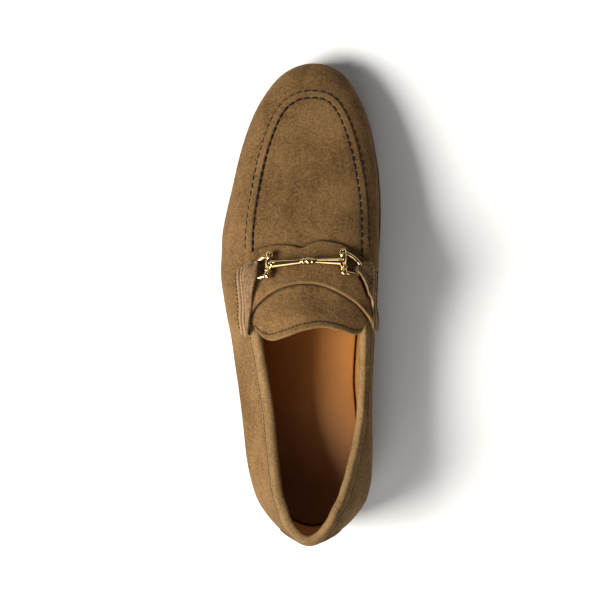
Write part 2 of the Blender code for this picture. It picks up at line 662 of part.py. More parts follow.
def build_ring(name, place, flip):
    """D-shaped ring with a straight cheek that has a knob at each end."""
    cheek_x, cheek_y = place[0] * BALL_WIDTH, place[1] * LENGTH
    end_y = cheek_y + np.array([-RING_HALF, RING_HALF])
    ends, normals = bit_seat(np.full(2, cheek_x), end_y, KNOB_RADIUS)
    centre, flat = ends.mean(axis=0), unit(normals.sum(axis=0))
    lengthways = unit(ends[1] - ends[0])
    across = unit(np.cross(lengthways, flat))
    half_spots = np.array([0.70, 0.80, 1.0, 1.20, 1.30])
    half_radii = np.array([CHEEK_RADIUS] + [share * KNOB_RADIUS for share in (0.8, 1.0, 0.8, 0.35)])
    spots = np.concatenate((-half_spots[::-1], half_spots))
    radii = np.concatenate((half_radii[::-1], half_radii))
    centres = centre + (spots * RING_HALF)[:, None] * lengthways
    count = len(spots)
    cheek = sweep(name, centres, np.tile(across, (count, 1)), np.tile(flat, (count, 1)),
                  round_profile(radii, 10), GOLD)
    turn = np.linspace(0, math.pi, 15)
    bulge = np.sin(turn) ** 0.8
    bow_x = cheek_x + flip * RING_REACH * bulge
    bow_y = cheek_y + np.sign(np.cos(turn)) * np.abs(np.cos(turn)) ** 0.8 * RING_HALF - RING_DROOP * bulge
    radius = WIRE_RADIUS + (KNOB_RADIUS - WIRE_RADIUS) * np.abs(np.cos(turn)) ** 6
    centres, upward = bit_seat(bow_x, bow_y, radius)
    run = unit(np.gradient(centres, axis=0))
    bow = sweep("bow", centres, unit(np.cross(run, upward)), upward,
                round_profile(np.full(len(turn), WIRE_RADIUS), 8), GOLD)
    join(cheek, bow, "UNION")
    return centre, lengthways


def join(target, other, operation):
    """Boolean of two objects, kept in the first."""
    modifier = target.modifiers.new(operation.lower(), "BOOLEAN")
    modifier.operation = operation
    modifier.solver = "EXACT"
    modifier.object = other
    graph = bpy.context.evaluated_depsgraph_get()
    mesh = bpy.data.meshes.new_from_object(target.evaluated_get(graph))
    target.modifiers.clear()
    target.data = mesh
    mesh.shade_smooth()
    mesh.set_sharp_from_angle(angle=math.radians(40))
    bpy.data.objects.remove(other)


def square_to(axis):
    """Two directions square to an axis and to each other."""
    helper = (0.0, 0.0, 1.0) if abs(axis[2]) < 0.9 else (1.0, 0.0, 0.0)
    first = unit(np.cross(axis, helper))
    return first, np.cross(axis, first)


def add_eye(centre, axis):
    """Round wire eye about an axis."""
    turn = np.linspace(0, 2 * math.pi, 14, endpoint=False)
    first, second = square_to(axis)
    spoke = np.cos(turn)[:, None] * first + np.sin(turn)[:, None] * second
    profile = round_profile(np.full(len(turn), EYE_WIRE), 6)
    upward = np.broadcast_to(axis, spoke.shape)
    return sweep("eye", centre + spoke * EYE_RADIUS, spoke, upward, profile, GOLD, True)


def add_tube(name, centre, axis, radius, half):
    """Plain round bar about an axis."""
    first, second = square_to(axis)
    centres = centre + np.array([-half, half])[:, None] * axis
    return sweep(name, centres, np.tile(first, (2, 1)), np.tile(second, (2, 1)),
                 round_profile(np.full(2, radius), 14), GOLD)


def build_bar(name, cheek, lengthways, eye_centre, eye_axis):
    """Half of the bar: a barrel round the cheek, a tapered bar and an eye at the middle."""
    inward = eye_centre - cheek
    reach = np.linalg.norm(inward)
    step = np.linspace(0, 1, 9)
    start, stop = (CHEEK_RADIUS + GAP) / reach, 1 - EYE_RADIUS / reach
    part = start + (stop - start) * step
    bow = BAR_BOW * np.sin(math.pi * part)
    centres = cheek + part[:, None] * inward + bow[:, None] * np.array([0.0, 0.0, 1.0])
    radii = BAR_RADIUS + (BAR_TIP_RADIUS - BAR_RADIUS) * smooth_step(step, 0.0, 1.0)
    first, second = square_to(inward / reach)
    bar = sweep(name, centres, np.tile(first, (len(step), 1)), np.tile(second, (len(step), 1)),
                round_profile(radii, 12), GOLD)
    bore = CHEEK_RADIUS + GAP
    join(bar, add_tube("barrel", cheek, lengthways, bore + BARREL_WALL, BARREL_HALF), "UNION")
    join(bar, add_eye(eye_centre, eye_axis), "UNION")
    join(bar, add_tube("bore", cheek, lengthways, bore, BARREL_HALF + BORE_OVERRUN), "DIFFERENCE")


def build_bit():
    """Two rings and the hooked bar between them."""
    outer_cheek, outer_way = build_ring("bit_ring_lateral", CHEEK_OUTER, -1.0)
    inner_cheek, inner_way = build_ring("bit_ring_medial", CHEEK_INNER, 1.0)
    x, y = np.array([LINK[0] * BALL_WIDTH]), np.array([LINK[1] * LENGTH])
    lift = strap_lift(rib_share(x, y), y) + STRAP_THICKNESS + 2 * GAP + EYE_RADIUS + EYE_WIRE
    link, _ = surface_frame(x, y, lift)
    half = np.array([EYE_RADIUS / 2, 0.0, 0.0])
    build_bar("bit_bar_lateral", outer_cheek, outer_way, link[0] - half, np.array([0.0, 0.0, 1.0]))
    build_bar("bit_bar_medial", inner_cheek, inner_way, link[0] + half, np.array([0.0, 1.0, 0.0]))


def set_origin():
    """Move everything so that the origin is under the middle of the shoe, on the floor."""
    things = list(bpy.context.scene.collection.objects)
    corners = np.array([vertex.co[:] for thing in things for vertex in thing.data.vertices])
    low, high = corners.min(axis=0), corners.max(axis=0)
    shift = Matrix.Translation(Vector((-(low[0] + high[0]) / 2, -(low[1] + high[1]) / 2, -low[2])))
    for thing in things:
        thing.data.transform(shift)


for thing in list(bpy.data.objects):
    bpy.data.objects.remove(thing)
build_sole()
build_upper()
build_collar()
build_straps()
build_backstay()
build_bit()
set_origin()
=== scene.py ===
"""Looks of a left bit loafer in brown suede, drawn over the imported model.

Lengths are metres. In the last's own frame Y runs from the back of the heel to the toe, X to the
inner side of the foot and Z up; `Last.shift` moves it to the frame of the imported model.
"""
from __future__ import annotations

import logging
import math
from collections.abc import Callable
from dataclasses import dataclass
from enum import Enum

import bpy
import numpy as np
from mathutils import Matrix, Vector

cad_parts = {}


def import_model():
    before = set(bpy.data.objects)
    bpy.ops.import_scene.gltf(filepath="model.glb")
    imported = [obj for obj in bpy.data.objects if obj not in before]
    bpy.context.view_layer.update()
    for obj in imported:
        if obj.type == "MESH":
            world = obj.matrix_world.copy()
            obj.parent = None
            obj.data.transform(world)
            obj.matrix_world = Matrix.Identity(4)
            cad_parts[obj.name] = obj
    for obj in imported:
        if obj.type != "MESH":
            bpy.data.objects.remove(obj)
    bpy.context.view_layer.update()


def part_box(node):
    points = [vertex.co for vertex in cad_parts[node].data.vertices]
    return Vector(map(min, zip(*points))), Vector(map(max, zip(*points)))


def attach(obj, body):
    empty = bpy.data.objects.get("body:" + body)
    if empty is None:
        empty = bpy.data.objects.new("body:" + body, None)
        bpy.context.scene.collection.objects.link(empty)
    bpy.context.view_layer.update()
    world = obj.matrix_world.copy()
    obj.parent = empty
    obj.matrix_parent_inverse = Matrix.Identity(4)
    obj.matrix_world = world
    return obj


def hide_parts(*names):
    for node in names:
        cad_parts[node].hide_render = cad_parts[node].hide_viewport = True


LOG = logging.getLogger("loafer")
MM = 0.001
# Clearance between a leather piece and what it lies on
GAP = 0.3 * MM

SECTION_COLUMNS = (
    "along", "outer", "inner", "widest", "tuck_outer", "tuck_inner",
    "line_outer", "line_inner", "line_height", "ridge", "roundness",
)
SECTIONS = np.array([
    (0.000, 0.000, 0.000, 0.575, 0.046, 0.046, 0.885, 0.885, 1.060, -0.005, 1.00),
    (0.022, 0.184, 0.177, 0.570, 0.046, 0.046, 0.705, 0.720, 1.055, -0.005, 1.00),
    (0.050, 0.273, 0.268, 0.565, 0.048, 0.048, 0.590, 0.630, 1.035, -0.005, 1.00),
    (0.090, 0.346, 0.343, 0.555, 0.050, 0.050, 0.548, 0.612, 0.990, -0.005, 1.00),
    (0.140, 0.389, 0.371, 0.540, 0.051, 0.054, 0.532, 0.662, 0.920, -0.006, 1.00),
    (0.200, 0.417, 0.372, 0.520, 0.055, 0.064, 0.545, 0.760, 0.845, -0.007, 1.00),
    (0.270, 0.441, 0.371, 0.485, 0.062, 0.082, 0.564, 0.842, 0.790, -0.009, 1.02),
    (0.340, 0.471, 0.376, 0.440, 0.066, 0.100, 0.594, 0.862, 0.780, -0.013, 1.08),
    (0.420, 0.510, 0.386, 0.390, 0.060, 0.096, 0.614, 0.856, 0.838, -0.019, 1.30),
    (0.500, 0.552, 0.401, 0.345, 0.048, 0.074, 0.625, 0.845, 0.862, -0.024, 1.65),
    (0.560, 0.573, 0.408, 0.310, 0.038, 0.052, 0.632, 0.832, 0.815, -0.028, 1.95),
    (0.620, 0.569, 0.413, 0.285, 0.032, 0.036, 0.641, 0.815, 0.748, -0.030, 2.15),
    (0.690, 0.536, 0.415, 0.272, 0.030, 0.031, 0.658, 0.790, 0.663, -0.021, 2.25),
    (0.760, 0.489, 0.405, 0.265, 0.030, 0.030, 0.668, 0.743, 0.596, -0.012, 2.30),
    (0.830, 0.438, 0.374, 0.262, 0.030, 0.030, 0.652, 0.690, 0.543, -0.003, 2.30),
    (0.890, 0.373, 0.330, 0.264, 0.031, 0.031, 0.638, 0.641, 0.508, 0.001, 2.25),
    (0.940, 0.291, 0.266, 0.270, 0.033, 0.033, 0.618, 0.603, 0.488, 0.003, 2.20),
    (0.975, 0.200, 0.191, 0.277, 0.035, 0.035, 0.572, 0.565, 0.480, 0.004, 2.20),
    (1.000, 0.000, 0.000, 0.280, 0.036, 0.036, 0.530, 0.530, 0.477, 0.005, 2.20),
])
# Share of the length, share of the instep height
FEATHER = np.array([
    (0.00, 0.325), (0.10, 0.312), (0.19, 0.302), (0.26, 0.280), (0.34, 0.226), (0.41, 0.168),
    (0.48, 0.116), (0.55, 0.083), (0.62, 0.06625), (0.74, 0.06625), (0.80, 0.075), (0.87, 0.098),
    (0.94, 0.130), (1.00, 0.165),
])
CROWN = np.array([
    (0.00, 1.480), (0.12, 1.400), (0.25, 1.290), (0.34, 1.200), (0.41, 1.118), (0.45, 1.060),
    (0.51, 0.978), (0.56, 0.906), (0.61, 0.834), (0.68, 0.736), (0.75, 0.644), (0.81, 0.572),
    (0.85, 0.530), (0.92, 0.480), (1.00, 0.450),
])
# Share of the length, share of the ball width
SOLE_EDGE = np.array([
    (0.00, 0.040), (0.05, 0.052), (0.14, 0.038), (0.27, 0.030), (0.40, 0.026), (0.50, 0.034),
    (0.58, 0.040), (0.80, 0.038), (1.00, 0.042),
])
# Share across the rib, rear edge and front edge as shares of the length
SADDLE = np.array([
    (-0.625, 0.472, 0.587), (-0.600, 0.467, 0.590), (-0.565, 0.477, 0.596), (-0.53, 0.486, 0.600),
    (-0.45, 0.499, 0.605), (-0.36, 0.510, 0.608), (-0.28, 0.517, 0.609), (-0.16, 0.524, 0.608),
    (-0.05, 0.527, 0.603), (0.05, 0.527, 0.611), (0.22, 0.523, 0.617), (0.39, 0.514, 0.614),
    (0.535, 0.503, 0.607), (0.675, 0.489, 0.594), (0.77, 0.472, 0.583), (0.845, 0.452, 0.574),
])
TAB_OUTER = np.array([
    (0.44, 0.547, 0.558), (0.47, 0.540, 0.565), (0.495, 0.528, 0.572), (0.53, 0.512, 0.576),
    (0.555, 0.498, 0.577), (0.575, 0.465, 0.577), (0.605, 0.440, 0.575), (0.655, 0.430, 0.571),
    (0.72, 0.425, 0.566), (0.775, 0.436, 0.559),
])
TAB_INNER = np.array([
    (0.62, 0.548, 0.557), (0.68, 0.543, 0.563), (0.73, 0.527, 0.571), (0.775, 0.513, 0.575),
    (0.83, 0.499, 0.575), (0.86, 0.478, 0.575), (0.885, 0.450, 0.574), (0.92, 0.436, 0.570),
    (0.96, 0.434, 0.562),
])
TONGUE = np.array([
    (-0.63, 0.466, 0.490), (-0.59, 0.452, 0.512), (-0.545, 0.435, 0.530), (-0.46, 0.420, 0.545),
    (-0.38, 0.416, 0.553), (-0.22, 0.422, 0.560), (0.00, 0.434, 0.560), (0.22, 0.440, 0.558),
    (0.49, 0.433, 0.550), (0.64, 0.427, 0.535), (0.73, 0.430, 0.520), (0.80, 0.455, 0.490),
])


class Side(Enum):
    """Side of the foot, as the sign of X."""

    OUTER = -1.0
    INNER = 1.0


class ThreadColour(Enum):
    """Colours of sewing thread, sRGB hex."""

    BLACK = "#0d0a08"
    BROWN = "#2c1d10"


def smooth_curve(at: np.ndarray, stations: np.ndarray, values: np.ndarray) -> np.ndarray:
    """Read a smooth curve without overshoot through table rows.

    Cubic pieces whose slope at a row is the harmonic mean of the slopes beside it, 0 at a turn.

    Args:
        at: Where to read the curve.
        stations: Places of the rows, rising.
        values: Values of the rows.

    Returns:
        The curve's values, in the shape of `at`.
    """
    step = np.diff(stations)
    rise = np.diff(values) / step
    before, after = rise[:-1], rise[1:]
    same_way = before * after > 0
    middle = np.where(same_way, 2 * before * after / np.where(same_way, before + after, 1.0), 0.0)
    slope = np.concatenate(([rise[0]], middle, [rise[-1]]))
    cell = np.clip(np.searchsorted(stations, at) - 1, 0, len(step) - 1)
    u = (at - stations[cell]) / step[cell]
    start = values[cell] * (1 + 2 * u) * (1 - u) ** 2 + step[cell] * slope[cell] * u * (1 - u) ** 2
    end = values[cell + 1] * u * u * (3 - 2 * u) - step[cell] * slope[cell + 1] * u * u * (1 - u)
    return start + end


def smooth_step(value: np.ndarray, low: float, high: float) -> np.ndarray:
    """Rise smoothly from 0 at low to 1 at high."""
    u = np.clip((value - low) / (high - low), 0.0, 1.0)
    return u * u * (3 - 2 * u)


def unit(vectors: np.ndarray) -> np.ndarray:
    """Scale vectors along the last axis to length one."""
    return vectors / np.maximum(np.linalg.norm(vectors, axis=-1, keepdims=True), 1e-12)


def bell(distance: np.ndarray, width: float) -> np.ndarray:
    """Bell curve, 1 at distance 0 and 0.37 at one width."""
    return np.exp(-((distance / width) ** 2))


def grid_faces(rows: int, columns: int, closed: bool = False) -> np.ndarray:
    """Number the quads of a grid of points.

    Args:
        rows: Number of rows.
        columns: Points in a row.
        closed: Whether the last column joins the first.

    Returns:
        Array of four point numbers a face.
    """
    row, column = np.meshgrid(np.arange(rows - 1), np.arange(columns - (not closed)), indexing="ij")
    beside = (column + 1) % columns
    corners = (row * columns + column, row * columns + beside,
               (row + 1) * columns + beside, (row + 1) * columns + column)
    return np.stack([corner.ravel() for corner in corners], axis=1)


def face_normals(points: np.ndarray, faces: np.ndarray) -> np.ndarray:
    """Average the normals of the faces round each point.

    Args:
        points: Point positions.
        faces: Quads.

    Returns:
        One unit normal a point.
    """
    corners = points[faces]
    flat = np.cross(corners[:, 2] - corners[:, 0], corners[:, 3] - corners[:, 1])
    normals = np.zeros_like(points)
    for corner in range(4):
        np.add.at(normals, faces[:, corner], flat)
    return unit(normals)


def close_shell(top: np.ndarray, bottom: np.ndarray, faces: np.ndarray) -> tuple[np.ndarray, np.ndarray]:
    """Close the space between two copies of a patch.

    An edge that only one face runs along, in one direction, is on the rim and gets a side face.

    Args:
        top: Points of the outer copy.
        bottom: Points of the inner copy.
        faces: Quads of the patch, facing outward.

    Returns:
        All points and all quads of the closed shell.
    """
    count = len(top)
    start = faces.ravel()
    end = np.roll(faces, -1, axis=1).ravel()
    key, back = start * count + end, end * count + start
    alone = ~np.isin(key, back)
    rim = np.stack((end[alone], start[alone], start[alone] + count, end[alone] + count), axis=1)
    return np.concatenate((top, bottom)), np.concatenate((faces, faces[:, ::-1] + count, rim))


def cap_faces(sides: int) -> np.ndarray:
    """Close a ring of points with strips straight across it.

    Args:
        sides: Points in the ring.

    Returns:
        Quads, facing back along the path.
    """
    half = np.arange(sides // 2 - 1)
    return np.stack((half, sides - 1 - half, sides - 2 - half, half + 1), axis=1)


def inside_out(points: np.ndarray, faces: np.ndarray) -> bool:
    """Tell whether a closed body's faces point inward, by the sign of its volume.

    Args:
        points: Points of the body.
        faces: Its quads.

    Returns:
        Whether the faces have to be turned.
    """
    centred = points - points.mean(axis=0)
    return np.sum(centred[faces[:, 0]] * np.cross(centred[faces[:, 1]], centred[faces[:, 2]])) <= 0


def swept(centres: np.ndarray, sideways: np.ndarray, upward: np.ndarray,
          profiles: np.ndarray) -> tuple[np.ndarray, np.ndarray]:
    """Sweep a closed profile along a path.

    Point = centre + sideways times the profile's first offset + upward times its second.

    Args:
        centres: Path points.
        sideways: Unit vectors for the first offset, one a path point.
        upward: Unit vectors for the second offset.
        profiles: Offsets, shape path points by profile points by 2.

    Returns:
        Points and quads of a body with a cap at each end.
    """
    rings = (centres[:, None] + profiles[:, :, :1] * sideways[:, None]
             + profiles[:, :, 1:] * upward[:, None])
    count, sides = rings.shape[:2]
    cap = cap_faces(sides)
    faces = (grid_faces(count, sides, closed=True), cap, cap[:, ::-1] + (count - 1) * sides)
    return rings.reshape(-1, 3), np.concatenate(faces)


def circles(radii: np.ndarray, sides: int) -> np.ndarray:
    """Round profiles of the given radii, for `swept`."""
    turn = np.linspace(0, 2 * math.pi, sides, endpoint=False)
    return np.asarray(radii)[:, None, None] * np.stack((np.cos(turn), np.sin(turn)), axis=1)


def linear_colour(hex_code: str) -> tuple[float, float, float, float]:
    """Turn an sRGB hex colour into linear red, green, blue and alpha 1.

    Args:
        hex_code: Colour such as "#a06a3c".

    Returns:
        Linear colour for a shader socket.
    """
    parts = [int(hex_code[place:place + 2], 16) / 255 for place in (1, 3, 5)]
    linear = [part / 12.92 if part <= 0.04045 else ((part + 0.055) / 1.055) ** 2.4 for part in parts]
    return (*linear, 1.0)


def add_node(tree: bpy.types.NodeTree, kind: str, sockets: dict | None = None,
             **settings: object) -> bpy.types.Node:
    """Add a shader node with its settings, numbers and links.

    Args:
        tree: Node tree to add to.
        kind: Node type name.
        sockets: Input name or number to a value or to the output socket that feeds it.
        **settings: Attributes of the node.

    Returns:
        The new node.
    """
    node = tree.nodes.new(kind)
    for name, value in settings.items():
        setattr(node, name, value)
    for name, value in (sockets or {}).items():
        if isinstance(value, bpy.types.NodeSocket):
            tree.links.new(value, node.inputs[name])
        else:
            node.inputs[name].default_value = value
    return node


def new_material(name: str) -> tuple[bpy.types.Material, bpy.types.NodeTree]:
    """Make a material without nodes.

    Args:
        name: Material name.

    Returns:
        The material and its node tree.
    """
    material = bpy.data.materials.new(name)
    material.use_nodes = True
    material.node_tree.nodes.clear()
    return material, material.node_tree


def blend(tree: bpy.types.NodeTree, share: object, first: object, second: object) -> bpy.types.NodeSocket:
    """Mix two colours.

    Args:
        tree: Node tree.
        share: Number or socket, 0 for the first colour and 1 for the second.
        first: Colour or socket.
        second: Colour or socket.

    Returns:
        The mixed colour's socket.
    """
    return add_node(tree, "ShaderNodeMix", {0: share, 6: first, 7: second}, data_type="RGBA").outputs[2]


def ramp(tree: bpy.types.NodeTree, value: bpy.types.NodeSocket, low: float, high: float,
         out_low: float = 0.0, out_high: float = 1.0) -> bpy.types.NodeSocket:
    """Map a socket's range low..high to out_low..out_high, clamped."""
    sockets = {0: value, 1: low, 2: high, 3: out_low, 4: out_high}
    return add_node(tree, "ShaderNodeMapRange", sockets, clamp=True).outputs[0]


def noise(tree: bpy.types.NodeTree, size: float, detail: float = 2.0, roughness: float = 0.5,
          stretch: tuple[float, float, float] = (1.0, 1.0, 1.0), warp: float = 0.0) -> bpy.types.NodeSocket:
    """Noise in object space with features of a real size.

    Args:
        tree: Node tree.
        size: Width of a feature in metres.
        detail: Octaves.
        roughness: Weight of the fine octaves.
        stretch: How much longer a feature is along X, Y and Z.
        warp: Distortion.

    Returns:
        Socket of the noise value, 0 to 1.
    """
    place = add_node(tree, "ShaderNodeTexCoord").outputs["Object"]
    scale = tuple(1.0 / (size * way) for way in stretch)
    scaled = add_node(tree, "ShaderNodeVectorMath", {0: place, 1: scale}, operation="MULTIPLY").outputs[0]
    sockets = {"Vector": scaled, "Scale": 1.0, "Detail": detail, "Roughness": roughness, "Distortion": warp}
    return add_node(tree, "ShaderNodeTexNoise", sockets, noise_dimensions="3D").outputs[0]


def bump(tree: bpy.types.NodeTree, height: bpy.types.NodeSocket, depth: float,
         under: bpy.types.NodeSocket | None = None) -> bpy.types.NodeSocket:
    """Tilt the normal by a height pattern.

    Args:
        tree: Node tree.
        height: Pattern from 0 to 1.
        depth: Real depth of the pattern in metres.
        under: Normal to start from.

    Returns:
        The tilted normal's socket.
    """
    sockets = {"Height": height, "Distance": depth, "Strength": 1.0}
    if under is not None:
        sockets["Normal"] = under
    return add_node(tree, "ShaderNodeBump", sockets).outputs[0]


def finish_shader(tree: bpy.types.NodeTree, sockets: dict) -> None:
    """Add the principled shader and the output."""
    shader = add_node(tree, "ShaderNodeBsdfPrincipled", sockets)
    add_node(tree, "ShaderNodeOutputMaterial", {"Surface": shader.outputs[0]})


@dataclass(frozen=True)
class Suede:
    """Napped suede, mottled where the nap lies one way or the other, rubbed paler on its edges."""

    # Split calf sanded to a short nap and brushed: dull, soft, brighter where it is seen at a slant
    name: str
    deep: str = "#3a2716"
    body: str = "#664b2a"
    pale: str = "#96744a"
    nap_size: float = 0.45 * MM
    nap_depth: float = 0.16 * MM
    patch: float = 17 * MM
    stroke: float = 4.2 * MM
    tuft: float = 1.45 * MM
    # Colour of painted shade, mixed in where the mesh's tone is below 0
    shade: str = "#1d1208"
    sheen: str = "#c4a474"

    def material(self) -> bpy.types.Material:
        """Nap made of fine noise in bump and colour; patches of brushed nap; `tone` from the mesh.

        Returns:
            The material.
        """
        made, tree = new_material(self.name)
        deep, body, pale = (linear_colour(code) for code in (self.deep, self.body, self.pale))
        # Patches a finger wide with strokes in them. Hairs are finer than a pixel, so that tufts of
        # them are drawn as coarse as they need to show.
        patches = ramp(tree, noise(tree, self.patch, 3.0, 0.55, (1.0, 1.5, 1.0), 0.6), 0.34, 0.66)
        strokes = ramp(tree, noise(tree, self.stroke, 3.0, 0.6, (1.0, 1.7, 1.0), 1.0), 0.36, 0.68)
        tufts = ramp(tree, noise(tree, self.tuft, 4.0, 0.85), 0.35, 0.65)
        hairs = noise(tree, self.nap_size, 2.0, 0.8)
        colour = blend(tree, patches, blend(tree, 0.68, deep, body), blend(tree, 0.42, body, pale))
        colour = blend(tree, ramp(tree, strokes, 0.0, 1.0, 0.0, 0.26), colour, pale)
        colour = blend(tree, ramp(tree, tufts, 0.0, 0.5, 0.56, 0.0), colour, deep)
        colour = blend(tree, ramp(tree, tufts, 0.5, 1.0, 0.0, 0.62), colour, pale)
        colour = blend(tree, ramp(tree, hairs, 0.35, 0.65, 0.30, 0.0), colour, deep)
        # Tone from the mesh: above 0 paler, for rubbed edges and painted highlights; below 0 the shade colour, as
        # painted shade and shadow
        tone = add_node(tree, "ShaderNodeAttribute", attribute_name="tone").outputs["Fac"]
        colour = blend(tree, ramp(tree, tone, 0.0, 1.0, 0.0, 0.85), colour, pale)
        dark = add_node(tree, "ShaderNodeMath", {0: tone, 1: -1.0}, operation="MULTIPLY").outputs[0]
        colour = blend(tree, ramp(tree, dark, 0.0, 1.0, 0.0, 0.9), colour, linear_colour(self.shade))
        # Hairs stand up as a fine relief over soft tufts
        normal = bump(tree, tufts, 0.10 * MM)
        normal = bump(tree, hairs, self.nap_depth, normal)
        finish_shader(tree, {
            "Base Color": colour, "Roughness": 0.96, "Specular IOR Level": 0.12, "Normal": normal,
            "Sheen Weight": 0.24, "Sheen Roughness": 0.42, "Sheen Tint": linear_colour(self.sheen),
        })
        return made


@dataclass(frozen=True)
class SmoothLeather:
    """Smooth vegetable-tanned leather with pores, faint clouding and a low gloss."""

    # Calf tanned with bark and plated smooth: warm, satin, a little cloudy; can be painted darker towards the heel as
    # shade
    name: str
    body: str = "#b07838"
    deep: str = "#7d4a1c"
    gloss: float = 0.46
    pore: float = 0.7 * MM
    grain: float = 1.1 * MM
    cloud: float = 34 * MM
    heel_shade: float = 0.0
    heel_shade_colour: str = "#2a1206"
    heel_shade_zone: tuple[float, float] = (-0.115, -0.02)

    def material(self) -> bpy.types.Material:
        """Clouds and streaks in colour, pores from cells in the bump, small changes in gloss.

        Returns:
            The material.
        """
        made, tree = new_material(self.name)
        clouds = ramp(tree, noise(tree, self.cloud, 3.0, 0.45, (1.0, 1.8, 1.0), 0.3), 0.25, 0.75)
        grain = noise(tree, self.grain, 3.0, 0.6)
        place = add_node(tree, "ShaderNodeTexCoord").outputs["Object"]
        cells = add_node(tree, "ShaderNodeTexVoronoi", {"Vector": place, "Scale": 1.0 / self.pore},
                         feature="DISTANCE_TO_EDGE").outputs["Distance"]
        colour = blend(tree, clouds, linear_colour(self.deep), linear_colour(self.body))
        colour = blend(tree, ramp(tree, grain, 0.35, 0.7, 0.22, 0.0), colour, linear_colour(self.deep))
        # Painted shade, darkest at the heel and fading out towards the ball
        along = add_node(tree, "ShaderNodeSeparateXYZ", {0: place}).outputs[1]
        heel_shade_share = ramp(tree, along, *self.heel_shade_zone, self.heel_shade, 0.0)
        colour = blend(tree, heel_shade_share, colour, linear_colour(self.heel_shade_colour))
        normal = bump(tree, ramp(tree, cells, 0.0, 0.12), 0.035 * MM)
        normal = bump(tree, grain, 0.05 * MM, normal)
        finish_shader(tree, {
            "Base Color": colour, "Normal": normal, "Specular IOR Level": 0.40,
            "Roughness": ramp(tree, clouds, 0.0, 1.0, self.gloss + 0.10, self.gloss),
        })
        return made


@dataclass(frozen=True)
class PolishedMetal:
    """Polished plated metal with a few hairline rubs."""

    # Cast brass, polished and plated pale gold: mirror-bright, with thin dark and white streaks of light
    name: str
    colour: str = "#d9b982"
    cloud: str = "#b98f52"
    roughness: float = 0.05

    def material(self) -> bpy.types.Material:
        """Metal whose gloss and normal change slightly along fine streaks.

        Returns:
            The material.
        """
        made, tree = new_material(self.name)
        rubs = noise(tree, 0.5 * MM, 3.0, 0.6, (6.0, 1.0, 1.0))
        dull = noise(tree, 3.0 * MM, 3.0, 0.6)
        colour = blend(tree, ramp(tree, dull, 0.35, 0.75, 0.0, 0.25), linear_colour(self.colour),
                       linear_colour(self.cloud))
        finish_shader(tree, {
            "Base Color": colour, "Metallic": 1.0,
            "Roughness": ramp(tree, dull, 0.3, 0.8, self.roughness, self.roughness + 0.06),
            "Normal": bump(tree, rubs, 0.003 * MM),
        })
        return made


@dataclass(frozen=True)
class Thread:
    """Waxed sewing thread."""

    # Twisted linen drawn through wax: nearly black, matt, a few lit fibres
    name: str
    colour: ThreadColour = ThreadColour.BLACK
    fibre: str = "#5a4630"

    def material(self) -> bpy.types.Material:
        """Dark thread with fibres in the bump and a waxy glint.

        Returns:
            The material.
        """
        made, tree = new_material(self.name)
        fibres = noise(tree, 0.18 * MM, 2.0, 0.7)
        base = linear_colour(self.colour.value)
        colour = blend(tree, ramp(tree, fibres, 0.45, 0.8, 0.0, 0.18), base,
                       linear_colour(self.fibre))
        finish_shader(tree, {"Base Color": colour, "Roughness": 0.70, "Specular IOR Level": 0.2,
                             "Normal": bump(tree, fibres, 0.06 * MM)})
        return made


@dataclass(frozen=True)
class StackedLeather:
    """Edge of leather layers, burnished dark."""

    # Sole leather cut, sanded and waxed at its edge: glossy brown with thin dark lines between layers
    name: str
    body: str = "#5a3a20"
    deep: str = "#2c1a0e"
    layer: float = 3.4 * MM
    line: str = "#140b06"

    def material(self) -> bpy.types.Material:
        """Thin dark lines between layers from the height, fibres along the edge.

        Returns:
            The material.
        """
        made, tree = new_material(self.name)
        place = add_node(tree, "ShaderNodeTexCoord").outputs["Object"]
        height = add_node(tree, "ShaderNodeSeparateXYZ", {0: place}).outputs[2]
        turns = add_node(tree, "ShaderNodeMath", {0: height, 1: 2 * math.pi / self.layer},
                         operation="MULTIPLY").outputs[0]
        wave = add_node(tree, "ShaderNodeMath", {0: turns}, operation="COSINE").outputs[0]
        line = ramp(tree, wave, 0.90, 1.0)
        fibres = noise(tree, 1.6 * MM, 4.0, 0.65, (3.0, 3.0, 0.5))
        colour = blend(tree, ramp(tree, fibres, 0.3, 0.7), linear_colour(self.deep), linear_colour(self.body))
        colour = blend(tree, ramp(tree, line, 0.0, 1.0, 0.0, 0.75), colour, linear_colour(self.line))
        hollow = add_node(tree, "ShaderNodeMath", {0: 1.0, 1: line}, operation="SUBTRACT").outputs[0]
        normal = bump(tree, hollow, 0.15 * MM)
        normal = bump(tree, fibres, 0.05 * MM, normal)
        finish_shader(tree, {"Base Color": colour, "Roughness": 0.42, "Normal": normal,
                             "Coat Weight": 0.25, "Coat Roughness": 0.30})
        return made


@dataclass(frozen=True)
class Rubber:
    """Moulded dark rubber with a fine matt grain."""

    # Moulded rubber: near black, matt, slightly dusty
    name: str
    colour: str = "#1e1b18"
    dust: str = "#6d655a"

    def material(self) -> bpy.types.Material:
        """Matt grain in the bump and slight dust in the colour.

        Returns:
            The material.
        """
        made, tree = new_material(self.name)
        grain = noise(tree, 0.5 * MM, 3.0, 0.6)
        dust = ramp(tree, noise(tree, 9 * MM, 4.0, 0.6), 0.45, 0.8, 0.0, 0.18)
        colour = blend(tree, dust, linear_colour(self.colour), linear_colour(self.dust))
        finish_shader(tree, {"Base Color": colour, "Roughness": 0.72, "Normal": bump(tree, grain, 0.08 * MM)})
        return made


@dataclass(frozen=True)
class PaleFloor:
    """Matt white studio floor."""

    # Painted board: plain white without a reflection
    name: str
    colour: str = "#f4f4f3"

    def material(self) -> bpy.types.Material:
        """Plain matt white.

        Returns:
            The material.
        """
        made, tree = new_material(self.name)
        finish_shader(tree, {"Base Color": linear_colour(self.colour), "Roughness": 0.9,
                             "Specular IOR Level": 0.1})
        return made


